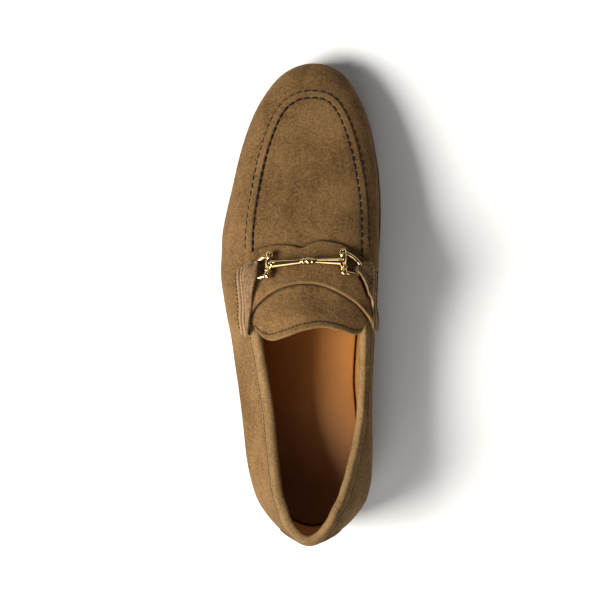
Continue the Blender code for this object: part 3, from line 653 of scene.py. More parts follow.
def show(name: str, mesh: bpy.types.Mesh, material: bpy.types.Material, replaces: tuple[str, ...]) -> bpy.types.Object:
    """Put a finished mesh into the scene as a piece that rides on the shoe.

    Args:
        name: Object name.
        mesh: Its mesh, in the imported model's frame.
        material: Its material.
        replaces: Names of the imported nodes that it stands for.

    Returns:
        The new object.
    """
    mesh.materials.append(material)
    piece = bpy.data.objects.new(name, mesh)
    bpy.context.scene.collection.objects.link(piece)
    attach(piece, "root")
    if replaces:
        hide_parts(*replaces)
    LOG.info("%s: %d points, %d faces", name, len(mesh.vertices), len(mesh.polygons))
    return piece


def add_piece(name: str, points: np.ndarray, faces: np.ndarray, material: bpy.types.Material,
              tone: np.ndarray | None = None, replaces: tuple[str, ...] = (),
              slot: str = "") -> bpy.types.Object:
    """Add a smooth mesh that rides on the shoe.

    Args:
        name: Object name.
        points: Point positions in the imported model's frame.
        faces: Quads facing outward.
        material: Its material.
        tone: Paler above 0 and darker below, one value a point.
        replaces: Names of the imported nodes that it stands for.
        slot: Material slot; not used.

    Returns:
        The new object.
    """
    mesh = bpy.data.meshes.new(name)
    mesh.vertices.add(len(points))
    mesh.vertices.foreach_set("co", np.asarray(points, dtype=np.float32).ravel())
    mesh.loops.add(faces.size)
    mesh.loops.foreach_set("vertex_index", np.asarray(faces, dtype=np.int32).ravel())
    mesh.polygons.add(len(faces))
    mesh.polygons.foreach_set("loop_start", np.arange(0, faces.size, 4, dtype=np.int32))
    mesh.update(calc_edges=True)
    mesh.validate()
    mesh.shade_smooth()
    values = np.zeros(len(points), dtype=np.float32) if tone is None else np.asarray(tone, dtype=np.float32)
    mesh.attributes.new("tone", "FLOAT", "POINT").data.foreach_set("value", values.ravel())
    return show(name, mesh, material, replaces)


@dataclass(frozen=True)
class Last:
    """Shape of the foot that all the leather follows, as ribs from a ridge to an outline."""

    length: float = 0.2945
    ball_width: float = 0.0995
    instep_height: float = 0.080
    toe_turn: float = 0.205
    heel_turn: float = 0.070
    throat: tuple[float, float] = (0.440, 0.505)
    seam_start: tuple[float, float] = (0.545, 0.580)
    band_front: float = 0.456
    shift: tuple[float, float, float] = (0.0, 0.0, 0.0)

    def around(self, name: str, theta: np.ndarray, parity: float = 1.0) -> np.ndarray:
        """Read a column of the sections round the outline.

        Args:
            name: Column name.
            theta: Angle, 0 at the heel and pi at the toe.
            parity: 1 for an even column, -1 for one that changes sign past the heel and toe.

        Returns:
            The column's values at the angles.
        """
        angles = np.arccos(1 - 2 * SECTIONS[:, 0])
        values = SECTIONS[:, SECTION_COLUMNS.index(name)]
        stations = np.concatenate((-angles[:0:-1], angles, 2 * math.pi - angles[-2::-1]))
        mirrored = np.concatenate((parity * values[:0:-1], values, parity * values[-2::-1]))
        return smooth_curve(theta, stations, mirrored)

    def by_side(self, name: str, theta: np.ndarray, side: np.ndarray, parity: float = 1.0) -> np.ndarray:
        """Read the outer or the inner column of a pair, by the side's sign."""
        return np.where(side < 0, self.around(f"{name}outer", theta, parity),
                        self.around(f"{name}inner", theta, parity))

    def feather(self, y: np.ndarray) -> np.ndarray:
        """Height of the edge where upper and sole meet."""
        return self.instep_height * smooth_curve(y / self.length, FEATHER[:, 0], FEATHER[:, 1])

    def crown(self, y: np.ndarray) -> np.ndarray:
        """Height of the ridge."""
        return self.instep_height * smooth_curve(y / self.length, CROWN[:, 0], CROWN[:, 1])

    def sole_edge(self, y: np.ndarray) -> np.ndarray:
        """How far the outsole stands past the feather edge."""
        share = np.clip(y / self.length, 0, 1)
        return self.ball_width * smooth_curve(share, SOLE_EDGE[:, 0], SOLE_EDGE[:, 1])

    def rib(self, theta: np.ndarray, side: np.ndarray) -> tuple[np.ndarray, ...]:
        """Plan of a rib.

        The outer end runs round the outline; the inner end runs along the ridge and slows to a stop
        short of heel and toe, so that the ribs fan out there.

        Args:
            theta: Angle round the outline.
            side: -1 for the outer side, 1 for the inner side.

        Returns:
            Ridge x, ridge y, outline x, outline y and the distance between them.
        """
        y = self.length / 2 * (1 - np.cos(theta))
        toe = np.clip((y - self.toe_turn) / (self.length - self.toe_turn), 0.0, 1.0)
        heel = np.clip((self.heel_turn - y) / self.heel_turn, 0.0, 1.0)
        before_toe = (self.length - self.toe_turn) * (toe - toe * toe / 2)
        axis_y = np.where(y > self.toe_turn, self.toe_turn + before_toe, y)
        axis_y = np.where(y < self.heel_turn, self.heel_turn * (1 - heel + heel * heel / 2), axis_y)
        edge_x = side * self.by_side("", theta, side, -1.0) * self.ball_width
        ridge = self.around("ridge", theta) * self.ball_width
        return ridge, axis_y, edge_x, y, np.hypot(edge_x - ridge, y - axis_y)

    def spaced(self, count: int, samples: int, crowd: float = 0.0) -> np.ndarray:
        """Angles spaced by distance along the outer side, closer in the front half.

        The distance is the running sum over a finely sampled outline, stretched by the crowding.

        Args:
            count: Number of angles.
            samples: Samples of the outline.
            crowd: How much closer the angles are in front of the throat, 0 for evenly.

        Returns:
            Angles from heel to toe.
        """
        fine = np.linspace(0, math.pi, samples)
        _, _, x, y, _ = self.rib(fine, -1.0)
        weight = 1 + crowd * smooth_step(y[1:] / self.length, 0.40, 0.50)
        run = np.concatenate(([0.0], np.cumsum(np.hypot(np.diff(x), np.diff(y)) * weight)))
        return np.interp(np.linspace(0, run[-1], count), run, fine)

    def share_at(self, theta: np.ndarray, climb: np.ndarray) -> np.ndarray:
        """Share of a rib's reach at a climb of 0 to 1."""
        turn = np.clip(climb, 0.0, 1.0) * math.pi / 2
        return np.maximum(np.cos(turn), 0.0) ** (2 / self.around("roundness", theta))

    def climb_at(self, theta: np.ndarray, share: np.ndarray) -> np.ndarray:
        """Climb at which a rib has a share of its reach."""
        return 2 / math.pi * np.arccos(np.clip(share, 0.0, 1.0) ** (self.around("roundness", theta) / 2))

    def theta_at(self, y: np.ndarray) -> np.ndarray:
        """Angle round the outline at a distance from the heel."""
        return np.arccos(np.clip(1 - 2 * y / self.length, -1.0, 1.0))

    def point(self, theta: np.ndarray, side: np.ndarray, climb: np.ndarray) -> np.ndarray:
        """Point on the last.

        Above the widest line a rib is a superellipse through the seam or topline; below it the rib
        tucks in as a parabola to the feather edge. A lean keeps the toe smooth where ribs fan out.

        Args:
            theta: Angle round the outline.
            side: -1 or 1.
            climb: -1 at the feather edge, 0 at the widest line, 1 on the ridge.

        Returns:
            Points in the last's frame.
        """
        theta, side, climb = np.broadcast_arrays(theta, side, climb)
        ridge, axis_y, edge_x, edge_y, reach = self.rib(theta, side)
        widest = self.around("widest", theta) * self.instep_height
        tuck = self.by_side("tuck_", theta, side) * self.ball_width
        power = self.around("roundness", theta)
        line = self.by_side("line_", theta, side)
        crown = self.crown(axis_y)
        line_rise = (self.around("line_height", theta) * self.instep_height - widest) / (crown - widest)
        rise_power = np.log(1 - line ** power) / np.log(line_rise)
        upper_share = self.share_at(theta, climb)
        down = np.clip(-climb, 0.0, 1.0)
        share = upper_share - tuck / reach * down ** 2
        x = ridge + (edge_x - ridge) * share
        y = axis_y + (edge_y - axis_y) * share
        slope = (self.crown(axis_y + MM) - self.crown(axis_y - MM)) / (2 * MM)
        lean = slope * (edge_y - axis_y) * share * (1 - share) ** 2 * (climb > 0)
        rise = np.maximum(1 - upper_share ** power, 0.0) ** (1 / rise_power)
        z = widest + (crown - widest) * rise + lean
        z = np.where(climb < 0, widest + (self.feather(y) - widest) * down, z)
        return np.stack((x, y, z), axis=-1)

    def top_climb(self, theta: np.ndarray, side: np.ndarray) -> np.ndarray:
        """Climb of the upper's edge: the topline at the rear, the ridge in front of the throat.

        Args:
            theta: Angle round the outline.
            side: -1 or 1.

        Returns:
            Climbs from 0 to 1.
        """
        line = self.climb_at(theta, self.by_side("line_", theta, side))
        along = (1 - np.cos(theta)) / 2
        return line + (1 - line) * smooth_step(along, *self.throat) ** 1.5

    def clear_band(self, y: np.ndarray) -> np.ndarray:
        """Height that clears the ends of the collar band and comes down in front of them."""
        ahead = smooth_step(y / self.length, self.band_front, self.band_front + 0.04)
        return 0.6 * MM + 1.8 * MM * (1 - ahead)

    def on_top(self, share: np.ndarray, y: np.ndarray) -> np.ndarray:
        """Point at a signed share across the rib and a distance from the heel."""
        theta = self.theta_at(y)
        return self.point(theta, np.where(share < 0, -1.0, 1.0), self.climb_at(theta, np.abs(share)))

    def seat(self, share: np.ndarray, y: np.ndarray, lift: np.ndarray) -> tuple[np.ndarray, np.ndarray]:
        """Point at a lift over the last, with the outward normal.

        Args:
            share: Signed share across the rib.
            y: Distance from the heel.
            lift: Distance over the last.

        Returns:
            Points and normals.
        """
        share, y, lift = np.broadcast_arrays(share, y, lift)
        across = self.on_top(share + 0.004, y) - self.on_top(share - 0.004, y)
        forward = self.on_top(share, y + 0.3 * MM) - self.on_top(share, y - 0.3 * MM)
        normal = unit(np.cross(across, forward))
        return self.on_top(share, y) + normal * lift[..., None], normal

    def side_normal(self, theta: np.ndarray, side: np.ndarray, climb: np.ndarray) -> np.ndarray:
        """Outward normal, as the cross product of a small step across and one along the last.

        Args:
            theta: Angle round the outline.
            side: -1 or 1.
            climb: Climb on the rib.

        Returns:
            Unit normals.
        """
        climb = np.clip(climb, -0.98, 0.96)
        across = self.point(theta, side, climb + 0.01) - self.point(theta, side, climb - 0.01)
        forward = self.point(theta + 0.01, side, climb) - self.point(theta - 0.01, side, climb)
        return unit(np.cross(across, forward) * -np.asarray(side)[..., None])

    def share_of(self, x: np.ndarray, y: np.ndarray) -> np.ndarray:
        """Signed share across the rib of a plan position in the straight part of the foot.

        Args:
            x: Position to the inner side.
            y: Distance from the heel.

        Returns:
            Shares, below 0 on the outer side.
        """
        theta = self.theta_at(y)
        ridge, _, outer, _, _ = self.rib(theta, -1.0)
        inner = self.rib(theta, 1.0)[2]
        return np.where(x < ridge, (x - ridge) / (ridge - outer), (x - ridge) / (inner - ridge))

    def placed(self, points: np.ndarray) -> np.ndarray:
        """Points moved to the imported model's frame."""
        return points + np.array(self.shift)


@dataclass(frozen=True)
class StitchRow:
    """Row of separate stitches sunk a little into the leather."""

    name: str
    pitch: float
    length: float
    radius: float
    sink: float = 1.3
    rings: int = 7
    sides: int = 8

    def build(self, path: np.ndarray, normals: np.ndarray, material: bpy.types.Material) -> bpy.types.Object:
        """Place a capsule at every pitch along a path.

        Each stitch is a grid of rings along its length whose radius follows a half circle at the
        ends, turned to the path's direction. Its ends sink by the fifth power of the distance from
        the middle. All stitches are computed together.

        Args:
            path: Path points.
            normals: Outward normals along the path.
            material: Thread material.

        Returns:
            The object with all stitches of the row.
        """
        run = np.concatenate(([0.0], np.cumsum(np.linalg.norm(np.diff(path, axis=0), axis=1))))
        count = max(int(run[-1] / self.pitch), 1)
        middle = (np.arange(count) + 0.5) * run[-1] / count
        spots = np.linspace(-1, 1, self.rings)
        reach = 0.5 * self.length * np.sin(spots * math.pi / 2)
        thick = self.radius * np.maximum(np.cos(spots * math.pi / 2), 0.08) ** 0.45
        at = middle[:, None] + reach
        centres = np.stack([np.interp(at, run, path[:, axis]) for axis in range(3)], axis=-1)
        upward = unit(np.stack([np.interp(at, run, normals[:, axis]) for axis in range(3)], axis=-1))
        ahead = unit(centres[:, -1:] - centres[:, :1])
        sideways = unit(np.cross(ahead, upward))
        centres = centres - upward * (self.radius * self.sink * (np.abs(spots) ** 5)[None, :, None])
        turn = np.linspace(0, 2 * math.pi, self.sides, endpoint=False)[:, None]
        around = np.cos(turn) * sideways[:, :, None] + np.sin(turn) * upward[:, :, None]
        rings = centres[:, :, None] + thick[:, None, None] * around
        cap = cap_faces(self.sides)
        last_ring = (self.rings - 1) * self.sides
        one = np.concatenate((grid_faces(self.rings, self.sides, closed=True), cap, cap[:, ::-1] + last_ring))
        first = np.arange(count) * self.rings * self.sides
        faces = (one[None] + first[:, None, None]).reshape(-1, 4)
        return add_piece(self.name, rings.reshape(-1, 3), faces, material)


@dataclass(frozen=True)
class Skin:
    """One of the two skins of the upper, between two depths under its outer face."""

    name: str
    stations: int
    seam_rows: int
    outer: float
    inner: float


@dataclass(frozen=True)
class Trough:
    """Soft dip in the suede round a segment in plan."""

    start: tuple[float, float]
    end: tuple[float, float]
    depth: float
    width: float


@dataclass
class Upper:
    """Suede upper with its leather lining and the two rows of seam stitches."""

    last: Last
    suede: Suede = Suede("suede_upper_brushed_nap")
    lining: SmoothLeather = SmoothLeather("lining_smooth_tan_calf", "#c48a4c", "#a06a34")
    thread: Thread = Thread("seam_thread_waxed_black")
    outside: Skin = Skin("upper_suede", 236, 33, 0.0, 0.9 * MM)
    inside: Skin = Skin("upper_lining", 120, 15, 1.0 * MM, 2.0 * MM)
    inner_row: StitchRow = StitchRow("seam_stitches_inner", 4.85 * MM, 4.1 * MM, 0.64 * MM)
    outer_row: StitchRow = StitchRow("seam_stitches_outer", 4.85 * MM, 3.4 * MM, 0.48 * MM)
    row_starts: tuple[float, float] = (0.575, 0.600)
    row_stations: int = 400
    row_lift: float = 0.30 * MM
    seam_half: float = 2.25 * MM
    seam_rise: float = 0.75 * MM
    seam_zone: float = 4.2 * MM
    troughs: tuple[Trough, ...] = (
        Trough((-0.045, 0.215), (0.030, 0.232), 0.30 * MM, 9.0 * MM),
        Trough((-0.034, 0.122), (-0.031, 0.092), 0.30 * MM, 3.5 * MM),
        Trough((-0.030, 0.072), (-0.025, 0.054), 0.25 * MM, 3.0 * MM),
        Trough((0.031, 0.105), (0.028, 0.075), 0.30 * MM, 3.5 * MM),
        Trough((-0.048, 0.176), (-0.043, 0.196), 0.30 * MM, 4.0 * MM),
        Trough((0.034, 0.186), (0.032, 0.206), 0.30 * MM, 4.0 * MM),
    )

    def ring(self, count: int) -> tuple[np.ndarray, np.ndarray]:
        """Angles and sides all round the foot, by the outer side to the toe and back.

        Args:
            count: Angles on one side, heel and toe included.

        Returns:
            Angles and sides, -1 for the outer side.
        """
        half = self.last.spaced(count, 4001, crowd=1.3)
        theta = np.concatenate((half, half[-2:0:-1]))
        return theta, np.concatenate((-np.ones(count), np.ones(count - 2)))

    def climbs(self, theta: np.ndarray, side: np.ndarray, seam_rows: int) -> np.ndarray:
        """Climbs of the rows of every rib, crowded where the seam runs.

        Args:
            theta: Angles of the ribs.
            side: Sides of the ribs.
            seam_rows: Rows in the seam zone.

        Returns:
            Array of ribs by rows.
        """
        reach = self.last.rib(theta, side)[4]
        line = self.last.by_side("line_", theta, side)
        along = ((1 - np.cos(theta)) / 2)[:, None]
        top = self.last.top_climb(theta, side)[:, None]
        spread = np.linspace(self.seam_zone, -self.seam_zone, seam_rows)
        seam = self.last.climb_at(theta[:, None], line[:, None] + spread / reach[:, None])
        # Behind the seam the same rows spread over the upper half of the quarter
        plain = top * np.linspace(0.55, 0.88, seam_rows)
        seam = plain + (seam - plain) * smooth_step(along, self.last.throat[0], 0.56)
        # Rows low in the quarter stay evenly spaced in height, so that no dip folds them
        evenly = 0.5 + 0.5 * smooth_step(along, 0.30, 0.50)
        low = seam[:, :1] * np.linspace(0, 1, seam_rows // 2 + 6)[1:-1] ** evenly
        high = seam[:, -1:] + (top - seam[:, -1:]) * np.linspace(0, 1, seam_rows - 4)[1:]
        down = np.broadcast_to(-np.linspace(1, 0, seam_rows // 3), (len(theta), seam_rows // 3))
        return np.concatenate((down, low, seam, high), axis=1)

    def numbering(self, theta: np.ndarray, side: np.ndarray, rows: int) -> np.ndarray:
        """Faces of the ring grid, with both sides joined along the ridge in front of the throat.

        Args:
            theta: Angles of the ribs.
            side: Sides of the ribs.
            rows: Rows of a rib.

        Returns:
            Quads that use one point for each ridge place.
        """
        columns = len(theta)
        number = np.arange(rows * columns).reshape(rows, columns)
        outer = np.arange(1, columns // 2)
        joined = outer[self.last.top_climb(theta[outer], side[outer]) > 0.99999]
        number[rows - 1, columns - joined] = number[rows - 1, joined]
        return number.ravel()[grid_faces(rows, columns, closed=True)]

    def seam(self, theta: np.ndarray, side: np.ndarray, climb: np.ndarray) -> tuple[np.ndarray, np.ndarray]:
        """Height and tone of the raised seam: a plateau with a bell-shaped groove at each stitch line.

        Args:
            theta: Angles of the ribs.
            side: Sides of the ribs.
            climb: Climbs, ribs by rows.

        Returns:
            Height in metres and tone, both ribs by rows.
        """
        reach = self.last.rib(theta, side)[4][:, None]
        line = self.last.by_side("line_", theta, side)[:, None]
        along = ((1 - np.cos(theta)) / 2)[:, None]
        offset = (self.last.share_at(theta[:, None], climb) - line) * reach
        present = smooth_step(along, *self.last.seam_start) * (climb > 0)
        band = 1 - smooth_step(np.abs(offset), self.seam_half - 0.5 * MM, self.seam_half + 0.9 * MM)
        inner_line = bell(offset + self.seam_half, 0.55 * MM)
        outer_line = bell(offset - self.seam_half, 0.5 * MM)
        height = present * (self.seam_rise * band - 0.45 * MM * inner_line - 0.32 * MM * outer_line)
        # Tone: the grooves at the stitch lines are painted darker as shade, the raised band a little paler as a
        # painted highlight
        return height, present * (-0.55 * inner_line - 0.30 * outer_line + 0.10 * band)

    def relief(self, theta: np.ndarray, side: np.ndarray, climb: np.ndarray,
               base: np.ndarray) -> tuple[np.ndarray, np.ndarray]:
        """Height of seam, soft troughs and waves over the last, and the tone.

        A trough is a bell-shaped dip round a segment in plan and is painted slightly darker as shade, the
        waves are products of sines, and the tone has a painted shadow line at the saddle's front edge.

        Args:
            theta: Angles of the ribs.
            side: Sides of the ribs.
            climb: Climbs, ribs by rows.
            base: Points on the last.

        Returns:
            Height in metres and tone, both ribs by rows.
        """
        height, tone = self.seam(theta, side, climb)
        x, y = base[..., 0], base[..., 1]
        share = side[:, None] * self.last.share_at(theta[:, None], climb)
        inside = np.clip(share, SADDLE[0, 0], SADDLE[-1, 0])
        edge = smooth_curve(inside, SADDLE[:, 0], SADDLE[:, 2]) * self.last.length
        # Painted shadow: a dark line on the suede just in front of the saddle's front edge
        tone = tone - 0.75 * bell(y - edge, 1.3 * MM) * (inside == share) * (climb > 0)
        for trough in self.troughs:
            (x0, y0), way = trough.start, np.subtract(trough.end, trough.start)
            part = np.clip(((x - x0) * way[0] + (y - y0) * way[1]) / (way @ way), 0, 1)
            dip = bell(np.hypot(x - x0 - part * way[0], y - y0 - part * way[1]), trough.width)
            height = height - trough.depth * dip
            # Painted shade in the dip
            tone = tone - 0.06 * dip
        waves = np.sin(95 * y + 40 * x) * np.sin(70 * x - 30 * y + 1.0) + 0.5 * np.sin(210 * y - 90 * x)
        return height + 0.16 * MM * waves * smooth_step(climb, -0.6, 0.2), tone

    def shell(self, skin: Skin, material: bpy.types.Material, replaces: tuple[str, ...], slot: str) -> None:
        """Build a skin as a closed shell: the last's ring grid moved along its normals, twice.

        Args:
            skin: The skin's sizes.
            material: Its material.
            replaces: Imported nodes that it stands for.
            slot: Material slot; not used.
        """
        theta, side = self.ring(skin.stations)
        climb = self.climbs(theta, side, skin.seam_rows)
        base = self.last.point(theta[:, None], side[:, None], climb)
        height, tone = self.relief(theta, side, climb, base)
        if skin.outer > 0:
            height, tone = np.zeros_like(height), np.zeros_like(tone)
        used, compact = np.unique(self.numbering(theta, side, climb.shape[1]), return_inverse=True)
        faces = compact.reshape(-1, 4)
        flat = base.transpose(1, 0, 2).reshape(-1, 3)[used]
        lift, tint = height.T.reshape(-1, 1)[used], tone.T.ravel()[used]
        normals = face_normals(flat, faces)
        if np.sum(normals * (flat - flat.mean(axis=0)), axis=1).mean() < 0:
            normals, faces = -normals, faces[:, ::-1]
        top = flat + normals * (lift - skin.outer)
        points, quads = close_shell(top, flat - normals * skin.inner, faces)
        add_piece(skin.name, self.last.placed(points), quads, material, np.tile(tint, 2), replaces, slot)

    def sew(self, row: StitchRow, sign: float, start: float, thread: bpy.types.Material) -> None:
        """Sew one row of the seam, from the saddle round the toe and back.

        Args:
            row: The row's sizes and name.
            sign: -1 for the row on the vamp's side of the seam, 1 for the other.
            start: Share of the length where the row starts.
            thread: Thread material.
        """
        theta, side = self.ring(self.row_stations)
        keep = (1 - np.cos(theta)) / 2 > start
        theta, side = theta[keep], side[keep]
        reach = self.last.rib(theta, side)[4]
        line = self.last.by_side("line_", theta, side)
        climb = self.last.climb_at(theta, line + sign * self.seam_half / reach)
        normal = self.last.side_normal(theta, side, climb)
        path = self.last.point(theta, side, climb) + normal * self.row_lift
        row.build(self.last.placed(path), normal, thread)

    def build(self) -> None:
        """Build suede skin, lining skin and seam stitches."""
        self.shell(self.outside, self.suede.material(), ("upper",), "suede")
        self.shell(self.inside, self.lining.material(), (), "")
        thread = self.thread.material()
        self.sew(self.inner_row, -1.0, self.row_starts[0], thread)
        self.sew(self.outer_row, 1.0, self.row_starts[1], thread)


@dataclass
class Plate:
    """Flat leather piece that lies on the last between two edges given by a table."""

    name: str
    last: Last
    table: np.ndarray
    thickness: float
    finish: Suede
    across: int = 120
    lengthwise: int = 60
    # Side that shares above 0 in the table lie on
    side: Side = Side.INNER
    edge: float = 0.8 * MM
    edge_fall: float = 0.85
    rim: float = 0.9 * MM
    rim_tone: tuple[float, float, float, float] = (0.3, 0.3, 0.1, 0.1)
    # Tone of the underside, which darkens the edge walls towards the bottom: painted shade
    under_tone: float = -0.8
    row_lift: float = 0.05 * MM

    def limits(self, share: np.ndarray) -> tuple[np.ndarray, np.ndarray]:
        """Rear and front edge at a share across the rib, as distances from the heel."""
        return (smooth_curve(share, self.table[:, 0], self.table[:, 1]) * self.last.length,
                smooth_curve(share, self.table[:, 0], self.table[:, 2]) * self.last.length)

    def spot(self, across: np.ndarray, lengthwise: np.ndarray) -> tuple[np.ndarray, np.ndarray]:
        """Signed share and distance from the heel of places on the plate.

        Args:
            across: Places from 0 to 1 across.
            lengthwise: Places from 0 at the rear edge to 1 at the front edge.

        Returns:
            Signed shares across the rib and distances from the heel.
        """
        share = self.table[0, 0] + (self.table[-1, 0] - self.table[0, 0]) * across
        rear, front = self.limits(share)
        return self.side.value * share, rear + (front - rear) * lengthwise

    def lift(self, share: np.ndarray, y: np.ndarray) -> np.ndarray:
        """Height of the underside over the last, which each kind of plate gives."""
        raise NotImplementedError

    def extra(self, across: np.ndarray, lengthwise: np.ndarray) -> tuple[np.ndarray, np.ndarray]:
        """Relief on the plate and its tone, which each kind of plate gives."""
        raise NotImplementedError

    def gaps(self, base: np.ndarray) -> tuple[np.ndarray, ...]:
        """Distances from each edge, as running sums of the grid's steps.

        Args:
            base: Grid of points, lengthwise by across.

        Returns:
            Distances from the rear, front, first and last edge.
        """
        column = np.linalg.norm(np.diff(base, axis=1), axis=2)
        row = np.linalg.norm(np.diff(base, axis=0), axis=2)
        left = np.concatenate((np.zeros((self.lengthwise, 1)), np.cumsum(column, axis=1)), axis=1)
        rear = np.concatenate((np.zeros((1, self.across)), np.cumsum(row, axis=0)), axis=0)
        return rear, rear[-1:] - rear, left, left[:, -1:] - left

    def build(self, replaces: tuple[str, ...], slot: str) -> bpy.types.Object:
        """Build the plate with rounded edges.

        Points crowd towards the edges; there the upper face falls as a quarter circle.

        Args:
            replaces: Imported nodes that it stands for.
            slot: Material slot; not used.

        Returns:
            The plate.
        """
        u = 0.5 - 0.5 * np.cos(math.pi * np.linspace(0, 1, self.across))
        v = 0.5 - 0.5 * np.cos(math.pi * np.linspace(0, 1, self.lengthwise))
        across, lengthwise = np.meshgrid(u, v)
        share, y = self.spot(across, lengthwise)
        base, normal = self.last.seat(share, y, self.lift(share, y))
        gaps = self.gaps(base)
        fall = 1 - np.sqrt(1 - np.clip(1 - np.minimum.reduce(gaps) / self.edge, 0, 1) ** 2)
        relief, tone = self.extra(across, lengthwise)
        for gap, strength in zip(gaps, self.rim_tone):
            tone = tone + strength * bell(gap, self.rim)
        top = base + normal * (self.thickness * (1 - self.edge_fall * fall) + relief)[..., None]
        faces = grid_faces(self.lengthwise, self.across)
        if self.side is Side.OUTER:
            faces = faces[:, ::-1]
        points, quads = close_shell(top.reshape(-1, 3), base.reshape(-1, 3), faces)
        tones = np.concatenate((tone.ravel(), np.full(tone.size, self.under_tone)))
        return add_piece(self.name, self.last.placed(points), quads, self.finish.material(), tones,
                         replaces, slot)

    def stitch(self, row: StitchRow, across: np.ndarray, lengthwise: np.ndarray,
               thread: bpy.types.Material) -> None:
        """Sew a row of stitches along places on the plate.

        Args:
            row: The row's sizes and name.
            across: Places from 0 to 1 across.
            lengthwise: Places from 0 to 1 lengthwise.
            thread: Thread material.
        """
        share, y = self.spot(across, lengthwise)
        path, normal = self.last.seat(share, y, self.lift(share, y) + self.thickness + self.row_lift)
        row.build(self.last.placed(path), normal, thread)


@dataclass
class Tongue(Plate):
    """Flap behind the saddle that rides over the ends of the collar band."""

    stitch_line: float = 0.095

    def lift(self, share: np.ndarray, y: np.ndarray) -> np.ndarray:
        """Height of the underside: higher where the collar band ends under it."""
        return self.last.clear_band(np.broadcast_arrays(y, share)[0])

    def extra(self, across: np.ndarray, lengthwise: np.ndarray) -> tuple[np.ndarray, np.ndarray]:
        """A pressed groove under the edge stitches, painted darker as shade, and a painted shadow line
        behind the saddle's edge.

        Args:
            across: Places across, from 0 to 1.
            lengthwise: Places from the rear edge to the front one, from 0 to 1.

        Returns:
            Relief in metres and tone.
        """
        groove = bell(lengthwise - self.stitch_line, 0.035) * smooth_step(np.abs(across - 0.5), 0.5, 0.44)
        share, y = self.spot(across, lengthwise)
        behind = y - smooth_curve(share, SADDLE[:, 0], SADDLE[:, 1]) * self.last.length
        # Tone: painted shade in the groove and a painted shadow line where the tongue goes under the saddle
        return -0.25 * MM * groove, -0.25 * groove - 0.95 * bell(behind, 1.1 * MM * (0.6 + np.abs(share)))


@dataclass
class Saddle(Plate):
    """Strap across the instep with two scallops in its front edge."""

    tongue: Tongue | None = None
    over_seam: float = 1.1 * MM

    def lift(self, share: np.ndarray, y: np.ndarray) -> np.ndarray:
        """Height of the underside: over the tongue behind, over the sewn seam at the ends.

        Args:
            share: Signed share across the rib.
            y: Distance from the heel.

        Returns:
            Heights over the last.
        """
        table = self.tongue.table
        _, front = self.tongue.limits(np.clip(share, table[0, 0], table[-1, 0]))
        beside = np.maximum(table[0, 0] - share, share - table[-1, 0])
        covered = (1 - smooth_step((y - front) / MM, 2.0, 10.0)) * (1 - smooth_step(beside, 0.02, 0.12))
        line = self.last.by_side("line_", self.last.theta_at(y), share)
        seam = smooth_step(np.abs(share) - line, -0.12, -0.06) * smooth_step(y / self.last.length, 0.56, 0.60)
        over_tongue = (self.tongue.lift(share, y) + self.tongue.thickness + GAP) * covered
        return GAP + np.maximum(over_tongue, self.over_seam * seam)

    def extra(self, across: np.ndarray, lengthwise: np.ndarray) -> tuple[np.ndarray, np.ndarray]:
        """A soft roll along the rear edge and a slight dip under the bar.

        Args:
            across: Places across, from 0 to 1.
            lengthwise: Places from the rear edge to the front one, from 0 to 1.

        Returns:
            Relief in metres and tone.
        """
        roll = bell(lengthwise - 0.04, 0.05)
        dip = bell(lengthwise - 0.52, 0.16) * smooth_step(np.abs(across - 0.5), 0.47, 0.30)
        # Tone: a little paler on the roll, and darker in the dip under the bar as painted shade
        return 0.30 * MM * roll - 0.25 * MM * dip, 0.12 * roll - 0.10 * dip


@dataclass
class SideTab(Plate):
    """Loop that comes up over a ring, dives through it and ends in a ribbed panel."""

    saddle: Saddle | None = None
    steps: tuple[float, float, float, float] = (0.0, 0.0, 0.0, 0.0)
    ring_rear: tuple[float, float] = (0.487, 0.531)
    wire: float = 3.8 * MM
    panel_start: float = 0.60
    rib_pitch: float = 0.125
    rib_height: float = 0.45 * MM
    front_thinned: float = 0.9 * MM

    def lift(self, share: np.ndarray, y: np.ndarray) -> np.ndarray:
        """Height of the underside: over the saddle, up over the wire, down on the upper.

        The first two steps are the shares where the loop starts and tops the wire, the last two
        those where it leaves the saddle and lies on the upper.

        Args:
            share: Signed share across the rib.
            y: Distance from the heel.

        Returns:
            Heights over the last.
        """
        start, topped, leaves, lies = self.steps
        reach = np.abs(share)
        near_ring = smooth_step(y / self.last.length, *self.ring_rear)
        lift = self.saddle.lift(share, y) + self.saddle.thickness + GAP
        front = self.limits(reach)[1]
        settled = smooth_step(y, front - 6 * MM, front) * smooth_step(reach, topped, topped + 0.07)
        lift = lift + self.wire * near_ring * (1 - settled) * smooth_step(reach, start, topped)
        lift = GAP + (lift - GAP) * (1 - smooth_step(reach, leaves, lies))
        return np.maximum(lift, self.last.clear_band(y))

    def extra(self, across: np.ndarray, lengthwise: np.ndarray) -> tuple[np.ndarray, np.ndarray]:
        """Ribs as a cosine along the panel at the far end, with narrow grooves between them.

        Args:
            across: Places across, from 0 to 1.
            lengthwise: Places from the rear edge to the front one, from 0 to 1.

        Returns:
            Relief in metres and tone.
        """
        begins = smooth_step(across, self.panel_start, self.panel_start + 0.06)
        panel = begins * smooth_step(1 - across, 0.0, 0.04)
        ribs = 0.5 - 0.5 * np.cos(2 * math.pi * (across - self.panel_start) / self.rib_pitch)
        groove = (1 - ribs) ** 4
        dive = 1 - smooth_step(across, 0.0, 0.24)
        thin = smooth_step(lengthwise, 0.84, 1.0) * smooth_step(across, 0.15, 0.3)
        relief = self.rib_height * panel * (ribs - 0.5) - self.front_thinned * thin
        # Tone: paler on the panel's ribs, darker in the grooves as painted shade, dark where the loop dives into the
        # ring as painted shadow
        return relief, panel * (0.62 * ribs - 0.55 * groove) - 0.8 * dive


